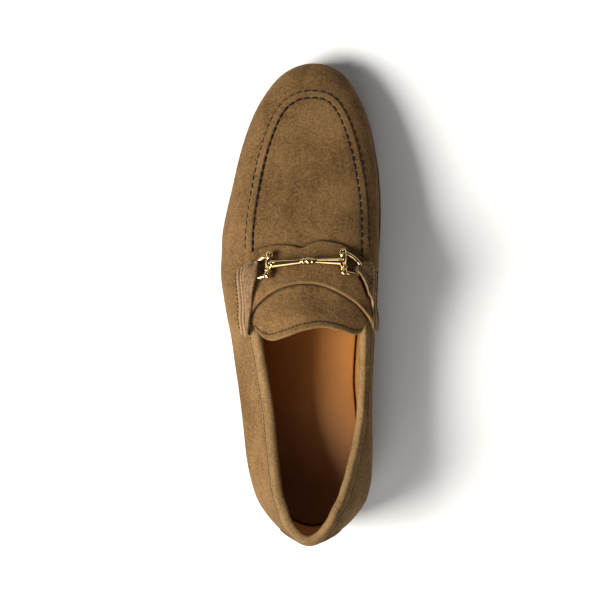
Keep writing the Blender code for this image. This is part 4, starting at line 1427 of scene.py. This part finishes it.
@dataclass
class CollarBand:
    """Rolled suede band round the opening, with a stitch line at its lower edge."""

    last: Last
    suede: Suede = Suede("suede_collar_band_rubbed_highlit", "#3d2a17", "#6b502f", "#a48459", 0.7 * MM, 0.3 * MM)
    thread: Thread = Thread("collar_thread_brown", ThreadColour.BROWN)
    row: StitchRow = StitchRow("collar_stitches", 2.0 * MM, 1.5 * MM, 0.26 * MM)
    width: float = 6.2 * MM
    wall: float = 2.0 * MM
    clearance: float = 0.25 * MM
    cloth: float = 1.25 * MM
    roll: float = 1.5 * MM
    sewn_at: float = 1.1 * MM
    row_sink: float = 0.22 * MM
    stations: int = 300
    smoothing: int = 7

    def path(self) -> tuple[np.ndarray, np.ndarray, np.ndarray]:
        """Topline from the outer side's front, round the heel, to the inner side's front.

        Normals are averaged over a few neighbours so that the band turns evenly at the heel.

        Returns:
            Points, directions that rise in the wall, and outward normals.
        """
        half = self.last.spaced(self.stations, 3001)
        half = half[(1 - np.cos(half)) / 2 <= self.last.band_front]
        theta = np.concatenate((half[::-1], half[1:]))
        side = np.concatenate((-np.ones(len(half)), np.ones(len(half) - 1)))
        climb = self.last.top_climb(theta, side)
        edge = self.last.point(theta, side, climb)
        normal = self.last.side_normal(theta, side, climb)
        kernel = np.ones(self.smoothing) / self.smoothing
        padded = np.pad(normal, ((self.smoothing // 2, self.smoothing // 2), (0, 0)), mode="edge")
        normal = unit(np.stack([np.convolve(padded[:, axis], kernel, "valid") for axis in range(3)], axis=1))
        rising = unit(np.cross(unit(np.gradient(edge, axis=0)), normal))
        return edge, rising * np.where(rising[:, 2:3] < 0, -1.0, 1.0), normal

    def profile(self) -> tuple[np.ndarray, np.ndarray]:
        """Folded section: up the outer face, over the rim as half an ellipse, down the inner face.

        Returns:
            Offsets upward and outward from the topline, and their tone.
        """
        outer, inner = self.clearance, -self.wall - self.clearance
        low, face, lining = -self.width, outer + self.cloth, inner - self.cloth
        deep = 0.66 * low
        groove = (low + self.sewn_at, face - 0.35 * MM)
        outside = [(low, outer), (low, face - 0.5 * MM), (low + 0.5 * MM, face - 0.1 * MM), groove,
                   (low + 1.9 * MM, face), (low / 2, face + 0.25 * MM)]
        turn = np.linspace(0, math.pi, 13)
        middle, half_width = (outer + inner) / 2, (outer - inner) / 2 + self.cloth
        roll = np.stack((0.2 * MM + self.roll * np.sin(turn), middle + half_width * np.cos(turn)), axis=1)
        inside = [(deep / 2, lining), (deep, lining - 0.2 * MM), (deep, inner - 0.2 * MM),
                  (0.0, inner), (0.0, outer)]
        profile = np.concatenate((outside, roll, inside))
        tone = np.zeros(len(profile))
        # The roll is painted paler towards its top, for rubbed nap and as a painted highlight; the stitch groove is
        # painted darker as shade
        tone[len(outside):len(outside) + len(roll)] = 0.35 * np.sin(turn) ** 2
        tone[outside.index(groove)] = -0.35
        return profile, tone

    def build(self) -> None:
        """Sweep the band's folded profile along the topline and sew it."""
        edge, rising, normal = self.path()
        profile, tone = self.profile()
        profiles = np.broadcast_to(profile, (len(edge), *profile.shape))
        points, faces = swept(edge, rising, normal, profiles)
        if inside_out(points, faces):
            faces = faces[:, ::-1]
        add_piece("collar_band", self.last.placed(points), faces, self.suede.material(),
                  np.tile(tone, len(edge)), ("collar_band",), "suede_edge")
        face = self.clearance + self.cloth
        path = edge + rising * (self.sewn_at - self.width) + normal * (face - self.row_sink)
        self.row.build(self.last.placed(path), normal, self.thread.material())


@dataclass
class Backstay:
    """Strip over the back of the heel."""

    last: Last
    suede: Suede = Suede("suede_backstay_brushed_nap")
    reach: float = 0.084
    thickness: float = 1.1 * MM
    clearance: float = 0.35 * MM
    foot: float = -0.93
    below_top: float = 0.06
    columns: int = 61
    rows: int = 50

    def build(self) -> None:
        """Build the strip as a grid of angles by climbs, thinned towards its edges."""
        spread = np.linspace(-1, 1, self.columns)
        theta = self.last.theta_at((self.reach * np.abs(spread)) ** 2)
        side = np.where(spread < 0, -1.0, 1.0)
        top = self.last.top_climb(theta, side).min() - self.below_top
        rise = np.linspace(0, 1, self.rows)[:, None]
        climb = self.foot + (top - self.foot) * rise
        base = self.last.point(theta[None], side[None], climb)
        whole = (self.rows, self.columns)
        normal = self.last.side_normal(*(np.broadcast_to(value, whole) for value in (theta, side, climb)))
        middle = self.columns // 2
        normal[:, middle] = unit(normal[:, middle - 1] + normal[:, middle + 1])
        edge = np.minimum(1 - np.abs(spread)[None], np.minimum(rise, 1 - rise) * 1.2)
        thick = self.thickness * smooth_step(edge, -0.04, 0.34)
        low = base + normal * self.clearance
        high = low + normal * thick[..., None]
        points, quads = close_shell(high.reshape(-1, 3), low.reshape(-1, 3), grid_faces(*whole))
        tone = -0.35 * bell(edge - 0.09, 0.02).ravel()
        add_piece("backstay", self.last.placed(points), quads, self.suede.material(),
                  np.concatenate((tone, np.zeros_like(tone))), ("backstay",), "suede")


@dataclass
class Bottom:
    """Outsole, stacked heel, top piece and insole."""

    last: Last
    gap: float = GAP
    sole: float = 5.0 * MM
    top_piece: float = 6.0 * MM
    heel_length: float = 0.074
    heel_points: int = 60
    heel_taper: float = 1.6 * MM
    insole: float = 2.5 * MM
    wall: float = 2.0 * MM
    outline_points: int = 161
    step: float = 0.6 * MM
    # Rows of a body's side: steps inward, then the share of its thickness
    outsole_rows: tuple[tuple[float, float], ...] = (
        (1.4, 0.0), (0.55, 0.02), (0.1, 0.08), (0.0, 0.22), (0.15, 0.40), (0.95, 0.46), (1.0, 0.50),
        (0.65, 0.58), (0.6, 0.82), (0.9, 0.93), (1.5, 0.985), (2.2, 1.0))
    heel_rows: tuple[tuple[float, float], ...] = (
        (0.3, 0.0), (0.0, 0.04), (0.15, 0.3), (0.5, 0.7), (1.0, 1.0))
    top_piece_rows: tuple[tuple[float, float], ...] = (
        (0.8, 1.0), (0.0, 0.94), (0.0, 0.12), (0.5, 0.03), (1.2, 0.0))
    insole_rows: tuple[tuple[float, float], ...] = (
        (9.0, 1.0), (1.6, 0.99), (0.6, 0.93), (0.0, 0.78), (0.0, 0.2), (0.5, 0.0))
    edge_finish: StackedLeather = StackedLeather("outsole_edge_burnished", "#8a6038", "#57371b", 5.2 * MM)
    heel_finish: StackedLeather = StackedLeather("heel_stack_waxed_layers")
    rubber: Rubber = Rubber("heel_rubber_moulded")
    # The insole is painted darker towards the heel: painted shade
    footbed: SmoothLeather = SmoothLeather("insole_smooth_tan_calf", "#c98a45", "#a96c30", 0.42,
                                           heel_shade=0.75)

    def sole_top(self, y: np.ndarray) -> np.ndarray:
        """Height of the outsole's upper face."""
        return self.last.feather(y) - self.gap

    def loop(self, past: Callable[[np.ndarray], np.ndarray], height: Callable[[np.ndarray], np.ndarray],
             heel_only: bool = False) -> np.ndarray:
        """Loop round the feather edge, moved outward in plan.

        Args:
            past: Gives the distance past the feather edge from the distance to the heel.
            height: Gives the height from the distance to the heel.
            heel_only: Whether the loop stops at the heel's front.

        Returns:
            Points from the front of the outer side, round the heel, to the inner side.
        """
        if heel_only:
            count, closes = self.heel_points, 0
            half = self.last.theta_at(np.linspace(0, math.sqrt(self.heel_length), count) ** 2)
        else:
            count, closes = self.outline_points, 1
            half = self.last.spaced(count, 2001)
        theta = np.concatenate((half[::-1], half[1:count - closes]))
        side = np.concatenate((-np.ones(count), np.ones(count - 1 - closes)))
        ridge, axis_y, edge_x, edge_y, reach = self.last.rib(theta, side)
        loop = self.last.point(theta, side, -1.0)
        away = np.stack((edge_x - ridge, edge_y - axis_y), axis=1) / reach[:, None]
        loop[:, :2] += away * np.reshape(past(edge_y), (-1, 1))
        loop[:, 2] = height(loop[:, 1])
        return loop

    def slab(self, name: str, loops: list[np.ndarray], material: bpy.types.Material,
             tip_first: bool = True) -> None:
        """Body between stacked loops, capped by strips straight across the foot.

        Args:
            name: Object name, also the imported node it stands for.
            loops: Loops from top to bottom.
            material: Its material.
            tip_first: Whether the first point of a loop is the toe's tip.
        """
        count = len(loops[0])
        left = np.arange(0, count // 2)
        heel_end = (count // 2 - 1, count // 2, count // 2 + 1)
        if tip_first:
            right = (count - left) % count
            left, right = left[1:], right[1:]
            ends = np.array([(0, 1, count - 1), heel_end])
        else:
            right = count - 1 - left
            ends = np.array([heel_end])
        strip = np.stack((left[:-1], left[1:], right[1:], right[:-1]), axis=1)
        base = (len(loops) - 1) * count
        points = np.concatenate(loops)
        quads = np.concatenate((grid_faces(len(loops), count, closed=True), strip, strip[:, ::-1] + base))
        faces = quads.tolist() + ends.tolist() + (ends[:, ::-1] + base).tolist()
        if inside_out(points, quads):
            faces = [face[::-1] for face in faces]
        mesh = bpy.data.meshes.new(name)
        mesh.from_pydata(self.last.placed(points).tolist(), [], faces)
        mesh.shade_smooth()
        mesh.set_sharp_from_angle(angle=math.radians(50))
        show(name, mesh, material, (name,))

    def outsole(self) -> None:
        """Build the outsole with its rounded, grooved edge."""
        loops = [self.loop(lambda y, inset=inset: self.last.sole_edge(y) - inset * self.step,
                           lambda y, part=part: self.sole_top(y) - part * self.sole)
                 for inset, part in self.outsole_rows]
        self.slab("outsole", loops, self.edge_finish.material())

    def heel(self) -> None:
        """Build the stacked heel, from the outsole down to its top piece, and the top piece."""
        base, inset = self.top_piece + self.gap, 2 * self.step
        loops = [self.loop(lambda y, part=part: self.last.sole_edge(y) - inset - part * self.heel_taper,
                           lambda y, drop=drop: ((self.sole_top(y) - self.sole - self.gap) * (1 - drop)
                                                 + base * drop), True)
                 for part, drop in self.heel_rows]
        self.slab("heel_stack", loops, self.heel_finish.material(), False)
        inset = 2 * self.step + self.heel_taper
        loops = [self.loop(lambda y, more=more: self.last.sole_edge(y) - inset - more * 0.6 * self.step,
                           lambda y, part=part: np.full_like(y, part * self.top_piece), True)
                 for more, part in self.top_piece_rows]
        self.slab("heel_top_piece", loops, self.rubber.material(), False)

    def footbed_slab(self) -> None:
        """Build the insole, which fits in the upper with a gap and has a rounded edge."""
        inset = self.wall + 2 * self.gap
        loops = [self.loop(lambda y, more=more: np.full_like(y, -inset - more * self.step),
                           lambda y, part=part: self.last.feather(y) + self.gap + part * self.insole)
                 for more, part in self.insole_rows]
        self.slab("insole", loops, self.footbed.material())

    def build(self) -> None:
        """Build the four slabs."""
        self.outsole()
        self.heel()
        self.footbed_slab()


@dataclass
class Bit:
    """Metal bar in two halves between two D-shaped rings."""

    last: Last
    saddle: Saddle
    metal: PolishedMetal = PolishedMetal("bit_pale_gold_polished")
    outer_cheek: tuple[float, float] = (-0.2322, 0.5616)
    inner_cheek: tuple[float, float] = (0.1879, 0.5671)
    link: tuple[float, float] = (-0.0111, 0.5664)
    over_saddle: float = 1.2 * MM
    ring_half: float = 6.3 * MM
    ring_reach: float = 10.0 * MM
    ring_droop: float = 3.4 * MM
    wire: float = 1.2 * MM
    cheek: float = 2.05 * MM
    knob: float = 2.45 * MM
    bar: tuple[float, float] = (2.4 * MM, 1.5 * MM)
    ball: float = 2.4 * MM
    bar_sides: int = 28
    bow_sides: int = 20
    bow_points: int = 60
    bow_power: float = 0.8
    # Collar of a cheek: shares of the way from an end, and the radius there over the cheek's
    collar_spots: tuple[float, ...] = (0.14, 0.155, 0.18, 0.205, 0.22)
    collar_shape: tuple[float, ...] = (1.0, 1.22, 1.30, 1.22, 1.0)
    # Shares of the way along half the bar, and the radius there over the plain taper
    bar_spots: tuple[float, ...] = (0.0, 0.04, 0.07, 0.10, 0.16, 0.30, 0.45, 0.60, 0.72, 0.80, 0.835, 0.86,
                                    0.885, 0.91, 0.93, 0.95)
    bar_shape: tuple[float, ...] = (0.75, 1.10, 1.16, 1.08, 1.0, 1.0, 1.0, 1.0, 1.0, 1.0, 1.05, 1.35, 1.5,
                                    1.35, 1.0, 0.9)

    def in_plan(self, place: tuple[float, float]) -> tuple[float, float]:
        """Turn shares of the ball width and of the length into a place in metres."""
        return place[0] * self.last.ball_width, place[1] * self.last.length

    def seat(self, x: np.ndarray, y: np.ndarray, radius: np.ndarray) -> tuple[np.ndarray, np.ndarray]:
        """Seat a round bar just over the saddle.

        Args:
            x: Position to the inner side.
            y: Distance from the heel.
            radius: Radius of the bar.

        Returns:
            Centres and outward normals.
        """
        share = self.last.share_of(x, y)
        lift = self.saddle.lift(share, y) + self.saddle.thickness + self.over_saddle + radius
        return self.last.seat(share, y, lift)

    def lathe(self, start: np.ndarray, end: np.ndarray, spots: np.ndarray,
              radii: np.ndarray) -> tuple[np.ndarray, np.ndarray]:
        """Turned bar: circles of the given radii at shares of the way from start to end.

        Args:
            start: First end.
            end: Second end.
            spots: Shares of the way.
            radii: Radius at each share.

        Returns:
            Points and quads.
        """
        ahead = unit(end - start)
        sideways = unit(np.cross(ahead, (0.0, 0.0, 1.0)))
        upward = np.cross(sideways, ahead)
        centres = start + np.asarray(spots)[:, None] * (end - start)
        count = len(centres)
        return swept(centres, np.tile(sideways, (count, 1)), np.tile(upward, (count, 1)),
                     circles(radii, self.bar_sides))

    def merged(self, parts: list[tuple[np.ndarray, np.ndarray]]) -> tuple[np.ndarray, np.ndarray]:
        """Put several bodies into one mesh, each turned to face outward.

        Args:
            parts: Points and quads of each body.

        Returns:
            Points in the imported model's frame, and quads.
        """
        points, faces, base = [], [], 0
        for body, quads in parts:
            faces.append((quads[:, ::-1] if inside_out(body, quads) else quads) + base)
            points.append(body)
            base += len(body)
        return self.last.placed(np.concatenate(points)), np.concatenate(faces)

    def cheek_bar(self, ends: np.ndarray) -> tuple[np.ndarray, np.ndarray]:
        """Straight cheek of a ring, turned, with a ball and a collar at each end.

        Args:
            ends: The two ends.

        Returns:
            Points and quads.
        """
        ball = np.linspace(-1, 1, 13)
        reach = self.knob / (2 * self.ring_half)
        tip = np.sqrt(np.maximum(1 - ball ** 2, 0.02)) * self.knob * 0.92
        collar_spots, collar = np.array(self.collar_spots), np.array(self.collar_shape) * self.cheek
        spots = np.concatenate((ball * reach, collar_spots, 1 - collar_spots[::-1], 1 + ball * reach))
        radii = np.concatenate((tip, collar, collar, tip))
        order = np.argsort(spots)
        spots = spots[order]
        radii = np.maximum(radii[order], np.where((spots > 0) & (spots < 1), self.cheek * 0.93, 0))
        return self.lathe(ends[0], ends[1], spots, radii)

    def bow(self, cheek_x: float, cheek_y: float, side: Side) -> tuple[np.ndarray, np.ndarray]:
        """Bow of a ring: half a superellipse in plan that droops to the rear, swept by a circle.

        Args:
            cheek_x: Place of the cheek to the inner side.
            cheek_y: Distance of the cheek from the heel.
            side: Side of the foot that the bow reaches to.

        Returns:
            Points and quads.
        """
        turn = np.linspace(0, math.pi, self.bow_points)
        bulge = np.sin(turn) ** self.bow_power
        bow_x = cheek_x + side.value * self.ring_reach * bulge
        bow_y = cheek_y + np.sign(np.cos(turn)) * np.abs(np.cos(turn)) ** self.bow_power * self.ring_half
        bow_y = bow_y - self.ring_droop * bulge
        height = self.wire + (self.knob - self.wire) * np.abs(np.cos(turn)) ** 6
        centres, upward = self.seat(bow_x, bow_y, height)
        ahead = unit(np.gradient(centres, axis=0))
        sideways = unit(np.cross(ahead, upward))
        profiles = circles(np.full(self.bow_points, self.wire), self.bow_sides)
        return swept(centres, sideways, np.cross(sideways, ahead), profiles)

    def ring(self, name: str, place: tuple[float, float], side: Side,
             material: bpy.types.Material) -> np.ndarray:
        """Build a ring of a straight cheek and a bow.

        Args:
            name: Object name.
            place: Place of the cheek, as shares.
            side: Side of the foot that the bow reaches to.
            material: Metal.

        Returns:
            The cheek's middle.
        """
        cheek_x, cheek_y = self.in_plan(place)
        ends_y = cheek_y + np.array([-self.ring_half, self.ring_half])
        ends, _ = self.seat(np.full(2, cheek_x), ends_y, np.full(2, self.knob))
        points, faces = self.merged([self.cheek_bar(ends), self.bow(cheek_x, cheek_y, side)])
        add_piece(name, points, faces, material, None, (name,), "pale_gold")
        return ends.mean(axis=0)

    def half_bar(self, name: str, cheek: np.ndarray, link: np.ndarray, material: bpy.types.Material) -> None:
        """Half of the bar: thick by the cheek, waisted at the middle, with a collar.

        Args:
            name: Object name.
            cheek: Middle of the cheek.
            link: Middle of the whole bar.
            material: Metal.
        """
        spots = np.array(self.bar_spots)
        thick, thin = self.bar
        taper = thick + (thin - thick) * smooth_step(spots, 0.08, 0.85)
        start = cheek + (link - cheek) * 0.03
        body = self.lathe(start, link, spots, taper * np.array(self.bar_shape))
        add_piece(name, *self.merged([body]), material, None, (name,), "pale_gold")

    def build(self) -> None:
        """Build rings, bar halves and the ball between them."""
        material = self.metal.material()
        outer = self.ring("bit_ring_lateral", self.outer_cheek, Side.OUTER, material)
        inner = self.ring("bit_ring_medial", self.inner_cheek, Side.INNER, material)
        x, y = self.in_plan(self.link)
        middle, _ = self.seat(np.array([x]), np.array([y]), np.array([self.ball]))
        self.half_bar("bit_bar_lateral", outer, middle[0], material)
        self.half_bar("bit_bar_medial", inner, middle[0], material)
        ball = np.linspace(-1, 1, 21)
        start, end = middle[0] + (-self.ball, 0, 0), middle[0] + (self.ball, 0, 0)
        radii = np.sqrt(np.maximum(1 - ball ** 2, 0.01)) * self.ball
        add_piece("bit_ball", *self.merged([self.lathe(start, end, (ball + 1) / 2, radii)]), material)


@dataclass(frozen=True)
class SoftLight:
    """Square studio light that looks at the camera's target."""

    name: str
    place: tuple[float, float, float]
    size: float
    power: float
    tint: tuple[float, float, float]


@dataclass
class Studio:
    """White floor, soft lights and the camera over the shoe."""

    camera_place: tuple[float, float, float] = (0.0515, -0.001, 1.20)
    target: tuple[float, float, float] = (0.0, 0.0, 0.035)
    frame_width: float = 0.3706
    floor_size: float = 6.0
    floor: PaleFloor = PaleFloor("floor_matt_white")
    air: tuple[float, float, float, float] = (1.0, 0.99, 0.97, 1.0)
    air_strength: float = 0.075
    soft_lights: tuple[SoftLight, ...] = (
        SoftLight("key_light", (-1.05, -0.32, 1.18), 0.72, 45.0, (1.0, 0.98, 0.95)),
        SoftLight("rear_light", (-0.20, -1.20, 1.05), 1.10, 10.0, (1.0, 0.98, 0.96)),
        SoftLight("front_light", (0.05, 1.50, 1.20), 0.50, 3.0, (0.98, 0.99, 1.0)),
    )

    def surroundings(self) -> None:
        """Lay the floor and fill the air with a faint even light."""
        bpy.ops.mesh.primitive_plane_add(size=self.floor_size)
        floor = bpy.context.object
        floor.name = "floor"
        floor.data.materials.append(self.floor.material())
        world = bpy.data.worlds.new("studio_world")
        world.use_nodes = True
        background = world.node_tree.nodes["Background"]
        background.inputs[0].default_value = self.air
        background.inputs[1].default_value = self.air_strength
        bpy.context.scene.world = world

    def lights(self) -> None:
        """Hang the soft lights."""
        for soft in self.soft_lights:
            light = bpy.data.lights.new(soft.name, "AREA")
            light.size, light.energy, light.color = soft.size, soft.power, soft.tint
            lamp = bpy.data.objects.new(soft.name, light)
            lamp.location = soft.place
            ahead = Vector(self.target) - Vector(soft.place)
            lamp.rotation_euler = ahead.to_track_quat("-Z", "Y").to_euler()
            bpy.context.scene.collection.objects.link(lamp)

    def camera(self) -> None:
        """Set the camera, its upper edge towards the toe, to frame a given width at the target."""
        data = bpy.data.cameras.new("camera")
        camera = bpy.data.objects.new("camera", data)
        back = Vector(self.camera_place) - Vector(self.target)
        side = Vector((0.0, 1.0, 0.0)).cross(back).normalized()
        back_unit = back.normalized()
        turned = Matrix((side, back_unit.cross(side), back_unit)).transposed()
        camera.matrix_world = Matrix.Translation(self.camera_place) @ turned.to_4x4()
        data.lens = data.sensor_width * back.length / self.frame_width
        bpy.context.scene.collection.objects.link(camera)
        bpy.context.scene.camera = camera

    def build(self) -> None:
        """Build floor, air, lights and camera."""
        bpy.context.scene.view_settings.view_transform = "Standard"
        self.surroundings()
        self.lights()
        self.camera()


@dataclass
class Straps:
    """Tongue, saddle and side tabs, which lie over one another in that order."""

    last: Last
    thread: Thread = Thread("strap_thread_waxed_black")
    tongue_row: StitchRow = StitchRow("tongue_stitches", 2.4 * MM, 1.7 * MM, 0.30 * MM)
    tab_pitch: float = 2.4 * MM
    tab_stitch: tuple[float, float] = (1.7 * MM, 0.32 * MM)
    tab_rows: tuple[float, float] = (0.965, 0.72)
    tongue_thickness: float = 1.8 * MM
    strap_thickness: float = 1.6 * MM

    def sewn_tongue(self, thread: bpy.types.Material) -> Tongue:
        """Build the tongue and sew its rear edge.

        Args:
            thread: Thread material.

        Returns:
            The tongue.
        """
        tongue = Tongue("tongue", self.last, TONGUE, self.tongue_thickness,
                        Suede("suede_tongue_brushed_nap"), 140, 60, rim_tone=(0.45, 0.0, 0.2, 0.2))
        tongue.build(("tongue",), "suede")
        across = np.linspace(0.045, 0.955, 120)
        tongue.stitch(self.tongue_row, across, np.full(120, tongue.stitch_line), thread)
        return tongue

    def sewn_tab(self, tab: SideTab, thread: bpy.types.Material) -> None:
        """Build a side tab and sew its panel.

        Args:
            tab: The tab.
            thread: Thread material.
        """
        tab.build((tab.name,), "suede_tab")
        for number, place in enumerate(self.tab_rows):
            row = StitchRow(f"{tab.name}_stitches_{number}", self.tab_pitch, *self.tab_stitch)
            tab.stitch(row, np.full(60, place), np.linspace(0.06, 0.94, 60), thread)

    def build(self) -> Saddle:
        """Build the straps.

        Returns:
            The saddle, which carries the bit.
        """
        thread = self.thread.material()
        # Rim tones: the rear edge paler, the front edge darker as painted shade
        saddle = Saddle("saddle", self.last, SADDLE, self.strap_thickness,
                        Suede("suede_saddle_brushed_nap"), 180, 70, rim_tone=(0.30, -0.1, 0.0, 0.0),
                        tongue=self.sewn_tongue(thread))
        saddle.build(("saddle",), "suede")
        ribbed = Suede("suede_side_tab_ribbed", pale="#a68664")
        for name, side, table, steps in (
                ("side_tab_lateral", Side.OUTER, TAB_OUTER, (0.44, 0.480, 0.600, 0.72)),
                ("side_tab_medial", Side.INNER, TAB_INNER, (0.62, 0.675, 0.845, 0.93))):
            tab = SideTab(name, self.last, table, self.strap_thickness, ribbed, 110, 70, side,
                          rim_tone=(0.15, 0.0, 0.0, 0.0), saddle=saddle, steps=steps)
            self.sewn_tab(tab, thread)
        return saddle


def find_shift(last: Last) -> tuple[float, float, float]:
    """Move from the last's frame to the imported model's, read from the upper's box.

    Args:
        last: The last.

    Returns:
        The move.
    """
    low, high = (np.array(corner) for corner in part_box("upper"))
    outer_x = last.rib(np.linspace(0, math.pi, 2001), -1.0)[2]
    return float(low[0] - outer_x.min()), float(high[1] - last.length), 0.0


def main() -> None:
    """Build every class in order."""
    logging.basicConfig(level=logging.INFO, format="%(name)s %(message)s")
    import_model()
    last = Last(shift=find_shift(Last()))
    LOG.info("shift %s", last.shift)
    Bottom(last).build()
    Upper(last).build()
    CollarBand(last).build()
    Backstay(last).build()
    saddle = Straps(last).build()
    Bit(last, saddle).build()
    Studio().build()


if __name__ == "__main__":
    main()
